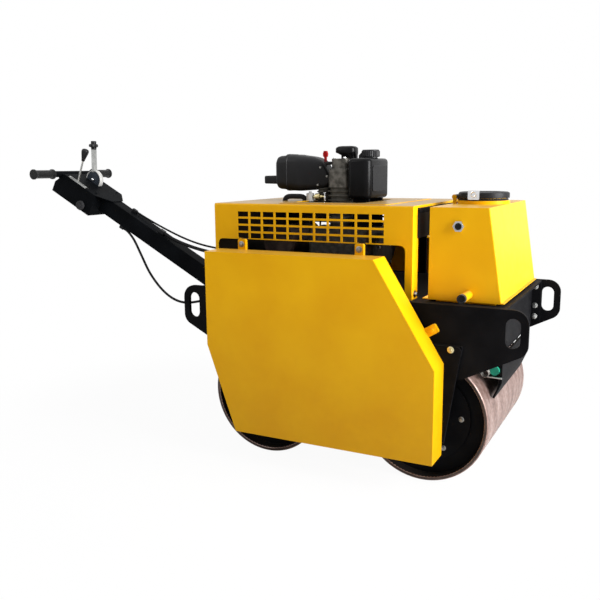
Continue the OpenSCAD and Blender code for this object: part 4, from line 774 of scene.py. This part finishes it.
cleaner = together(sections(np.concatenate([cover, body])), sections(snout))
cleaner = put("air_cleaner_moulded", cleaner, PLASTIC, "chassis", sharp=50)
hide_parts("air_cleaner")

# %% [markdown]
# The fuel line runs above the hood, a little right of the middle: a black hose, a pale paper filter,
# a gold-coloured union and a bright rod. Behind it stands the ribbed injection pump.

# %% Fuel line and injection pump
FUEL_Y = -52
hose = [(-340, 889), (-336, 903), (-323, 910), (-293, 911), (-268, 910), (-257, 904), (-253, 893)]
hose = smooth_route([(x, FUEL_Y, z) for x, z in hose], 6)
put("fuel_hose", tube(hose, 9.5, 16), RUBBER, "chassis")
filter_form = lathe([(12, 0), (14, 1), (14.6, 3), (14.6, 27), (13.4, 30), (6, 31), (5, 36), (4, 37)], 28)
put("fuel_filter", copies(filter_form, [(-233, FUEL_Y, 893)]), PALE, "chassis")
union_form = lathe([(4, 0), (5, 0.6), (5, 7.2), (12.4, 7.92), (12.8, 9.6), (12.8, 24), (12.2, 25.68), (7, 26.4),
                    (7, 36), (5, 36.72), (5, 46.8)], 18)
put("fuel_union", copies(aim(union_form, (1, 0, 0)), [(-218, FUEL_Y, 910)]), GILT, "chassis")
rod = lathe([(2.2, 0), (2.6, 0.4), (2.6, 44), (4.6, 44.6), (4.6, 48), (2.4, 49)], 14)
put("fuel_rod", copies(rod, [(-171, -58, 878)]), CHROME, "chassis")
rib_r = np.tile([30.0, 30.0, 25.0, 25.0], 6)
rib_h = (np.arange(24) * 2.6 + 1).round(1)
pump = np.stack([np.r_[22.0, rib_r, 22.0, 14.0], np.r_[0, rib_h, 63.4, 66]], 1)
put("injection_pump", copies(lathe(pump, 36), [(-194, -6, 884)]), CAST, "chassis")

# %% [markdown]
# The breather's hood is a stack of rounded outlines that widens over its foot. The fuel cap has a knurled rim.

# %% Breather and fuel cap
# each level: height, rear, front, half width, corner radius
BREATHER = [(0, 21, 78, 24, 18), (12, 21, 78, 26, 20), (17, 12, 78, 29, 21), (21, 2, 78, 31, 22),
            (24, 0, 78, 31, 22), (36, 0.5, 77.5, 31, 22), (40, 3, 75.5, 28.5, 20), (43.5, 9, 70, 23, 17),
            (45, 18, 60, 14, 11)]
breather = stacked([raised(round_box(front - rear, 2 * half, r, ROUND) + [(rear + front) / 2, 0], h)
                    for h, rear, front, half, r in BREATHER])
breather_at = np.asarray(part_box("breather_cap")[0]) * [1, 0, 1]
breather = put("breather_moulded", breather, TANK_PLASTIC, "chassis",
               to_frame=lambda p: p / 1000 + breather_at)
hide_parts("breather_cap")
KNURLS, CAP_POINTS = 30, 120
a = angles(CAP_POINTS)
knurl = 32.2 + 0.7 * np.cos(KNURLS * a)
knurl = stacked([np.stack([(knurl - d) * np.cos(a), (knurl - d) * np.sin(a), 0 * a + z], 1)
                 for d, z in ((1.4, 5.4), (0, 6.6), (0, 24.6), (1.4, 25.8), (3, 25.8), (3, 5.4))], closed=True)
put("fuel_cap_knurl", copies(knurl, [(-16, 0, ENGINE_TOP)]), CAP_PLASTIC, "chassis")

# %% [markdown]
# The fuel tank is blown, so every edge of it is round. Its sections are rounded rectangles that draw in towards
# top and foot along a quarter circle. A shallow panel stands on the front.

# %% Blown fuel tank
EDGE_R, CORNER_R = 14, 26
PANEL_W, PANEL_H, PANEL_R, PANEL_T = 144, 90, 10, 2
a = np.linspace(0, np.pi / 2, 6)
inset, rise = EDGE_R * (1 - np.sin(a)), EDGE_R * (1 - np.cos(a))
low, high = np.asarray(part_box("fuel_tank"))
long, wide, tall = 1000 * (high - low) - [PANEL_T, 0, 0]
levels = zip(np.r_[inset, inset[::-1]], np.r_[rise, tall - rise[::-1]])
blown = stacked([raised(round_box(long - 2 * i, wide - 2 * i, CORNER_R - i, ROUND), z) for i, z in levels])
panel = stacked([raised(round_box(PANEL_W - 2 * i, PANEL_H - 2 * i, PANEL_R - i, ROUND), z)
                 for i, z in ((0, -1), (0, 1.2), (0.8, PANEL_T))])
panel = copies(aim(panel, (1, 0, 0)), [(long / 2, 0, tall / 2)])
tank_at = np.array([(low[0] + high[0] - PANEL_T / 1000) / 2, (low[1] + high[1]) / 2, low[2]])
tank = put("fuel_tank_blown", together(blown, panel), TANK_PLASTIC, "chassis",
           to_frame=lambda p: p / 1000 + tank_at)
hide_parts("fuel_tank")

# %% [markdown]
# A thin sheet lies on the hood and closes its opening up to the engine: an outer and an inner outline with
# the same number of points, joined over the top, down the edges and underneath.

# %% Closing sheet
SHEET_MM = 2
outer, inner = round_box(402, 492, 12, ROUND) + [-61, 0], round_box(258, 312, 20, ROUND) + [-103, -26]
closing = stacked([raised(outer, 0), raised(outer, SHEET_MM), raised(inner, SHEET_MM), raised(inner, 0)], closed=True)
hood_top = 1000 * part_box("hood")[1][2]
# the sheet has the hood top's dust and painted reflection
put("hood_closing_sheet", copies(closing, [(0, 0, hood_top)]), TOP_DUST_AND_REFLECTION_YELLOW, "chassis")

# %% [markdown]
# A black rubber apron closes the top of the gap between the hood and the tank: a dark sheet put where there is shade.
# It hangs from a strip with screws.

# %% Rubber apron, a dark sheet for the shade in the gap
APRON_AT = [(HOOD_FRONT, 0, 790)]
APRON_T, APRON_H, STRIP_Z = 3, 96, 86
y = np.linspace(-246, 246, 60)
wave = 1.2 * (1 - np.cos(2 * np.pi * y / 123))
apron, faces = prism(np.stack([np.r_[y, y[::-1]], np.r_[wave, wave[::-1] + APRON_T]], 1), APRON_H)
hung = apron[:, [1, 0, 2]], [f[:, ::-1] for f in faces]
strip = copies(aim(prism(round_box(490, 14, 4), 2.4), (1, 0, 0)), [(4, 0, STRIP_Z)])
heads = copies(aim(screw, (1, 0, 0)), [(6.4, k, STRIP_Z) for k in (-200, -70, 70, 200)])
# a dark sheet that stands for the shade in the gap between hood and tank
put("shade_apron_sheet", copies(hung, APRON_AT), SHEATH, "chassis")
put("apron_strip", copies(together(strip, heads), APRON_AT), BLACK, "chassis")

# %% [markdown]
# At each scraper's right and left ends a wire spring keeps the blade up to the drum. It is a coil that
# stands on one straight leg.


# %% Scraper springs
def coil(start, length, radius, wire, turns):
    """x = radius cos(2 pi turns t), z = radius sin(2 pi turns t), y = length t, from the start."""
    t = np.linspace(0, 1, int(turns * 20))
    w = 2 * np.pi * turns * t
    path = np.asarray(start, float) + np.stack([radius * np.cos(w), length * t, radius * np.sin(w)], 1)
    return tube(path, wire / 2, 8)


ends = [(end, side) for end in ENDS for side in (-1, 1)]
springs = [coil((end * 474, side * 219, 372), side * 34, 12.5, 3.6, 4.5) for end, side in ends]
legs = [tube([(end * x, side * 223.4, z) for x, z in ((460, 356), (490, 355), (523, 354))], 3.2, 10)
        for end, side in ends]
put("scraper_springs", together(*springs), TURNED, "chassis")
put("scraper_legs", together(*legs), ZINC, "chassis")

# %% [markdown]
# A plain pale floor and soft studio light: one broad lamp from ahead and a little to the right, a weaker one
# from the left of the camera, one above, and an even sky. The sky is white where the camera or a reflection
# sees it. A last, small lamp stands for the light that the tank's rear wall throws back on the hood's folded
# edge.

# %% Stage and light
SKY, FLOOR_SIDE = 0.2, 14.0
scene = bpy.context.scene
scene.view_settings.view_transform = "Standard"
world = bpy.data.worlds.new("studio")
scene.world = world
world.use_nodes = True
tree = world.node_tree
tree.nodes.clear()
rays = add_node(tree, "LightPath").outputs
seen = arithmetic(tree, "MAXIMUM", rays["Is Camera Ray"], rays["Is Glossy Ray"])
seen = arithmetic(tree, "MAXIMUM", seen, rays["Is Transmission Ray"])
soft = add_node(tree, "Background", {"Color": (1, 1, 1, 1), "Strength": SKY})
white = add_node(tree, "Background", {"Color": (1, 1, 1, 1), "Strength": 1.0})
both = add_node(tree, "MixShader", {0: seen, 1: soft.outputs[0], 2: white.outputs[0]})
add_node(tree, "OutputWorld", {"Surface": both.outputs[0]})


def lamp(name, spot, target, size, power):
    """A rectangular area lamp at a spot, turned to look at the target; size is its width and height in metres."""
    data = bpy.data.lights.new(name, "AREA")
    data.shape, data.size, data.size_y, data.energy = "RECTANGLE", *size, power
    made = bpy.data.objects.new(name, data)
    scene.collection.objects.link(made)
    look = np.asarray(target, float) - np.asarray(spot, float)
    z = -look / np.linalg.norm(look)
    x = np.cross([0, 0, 1], z)
    x /= np.linalg.norm(x)
    made.matrix_world = pose(x, np.cross(z, x), z, spot)
    return made


lamp("key ahead right", (4.86, -0.45, 2.08), (0.4, 0, 0.55), (2.6, 2.6), 415)
lamp("fill left of camera", (-1.9, -2.6, 2.9), (0.1, 0, 0.6), (2.0, 2.0), 26)
lamp("sky above", (0.2, -0.1, 4.2), (0.2, 0, 0.9), (4.0, 4.0), 42)
bounce = lamp("bounce off the tank", at([291, -264, 740]), at([HOOD_FRONT, -264, 740]), (0.036, 0.29), 0.2)
bounce.visible_camera = bounce.visible_glossy = False

# the floor glows white to the camera, a little less so close to the machine, where its shadow shows
floor_finish, tree, shader, place = start_finish("pale_floor", "matt white studio floor", Roughness=0.9)
shader.inputs["Base Color"].default_value = hex_linear("#FAFAFA")
glow = add_node(tree, "Emission", {"Color": (1, 1, 1, 1), "Strength": 1.0})
rays = add_node(tree, "LightPath").outputs
reach = add_node(tree, "VectorMath", {0: place}, operation="LENGTH").outputs["Value"]
fade = add_node(tree, "MapRange", {"Value": reach, "From Min": 0.7, "From Max": 1.5, "To Min": 0.95, "To Max": 1.0},
                interpolation_type="SMOOTHSTEP").outputs["Result"]
shown = arithmetic(tree, "MULTIPLY", rays["Is Camera Ray"], fade)
mixed = add_node(tree, "MixShader", {0: shown, 1: shader.outputs[0], 2: glow.outputs[0]})
tree.links.new(mixed.outputs[0], tree.nodes["Material Output"].inputs["Surface"])
floor_mesh = bpy.data.meshes.new("floor")
floor_mesh.from_pydata([(x * FLOOR_SIDE, y * FLOOR_SIDE, 0) for x, y in ((-1, -1), (1, -1), (1, 1), (-1, 1))],
                       [], [(0, 1, 2, 3)])
floor_mesh.materials.append(floor_finish)
floor = bpy.data.objects.new("floor", floor_mesh)
scene.collection.objects.link(floor)
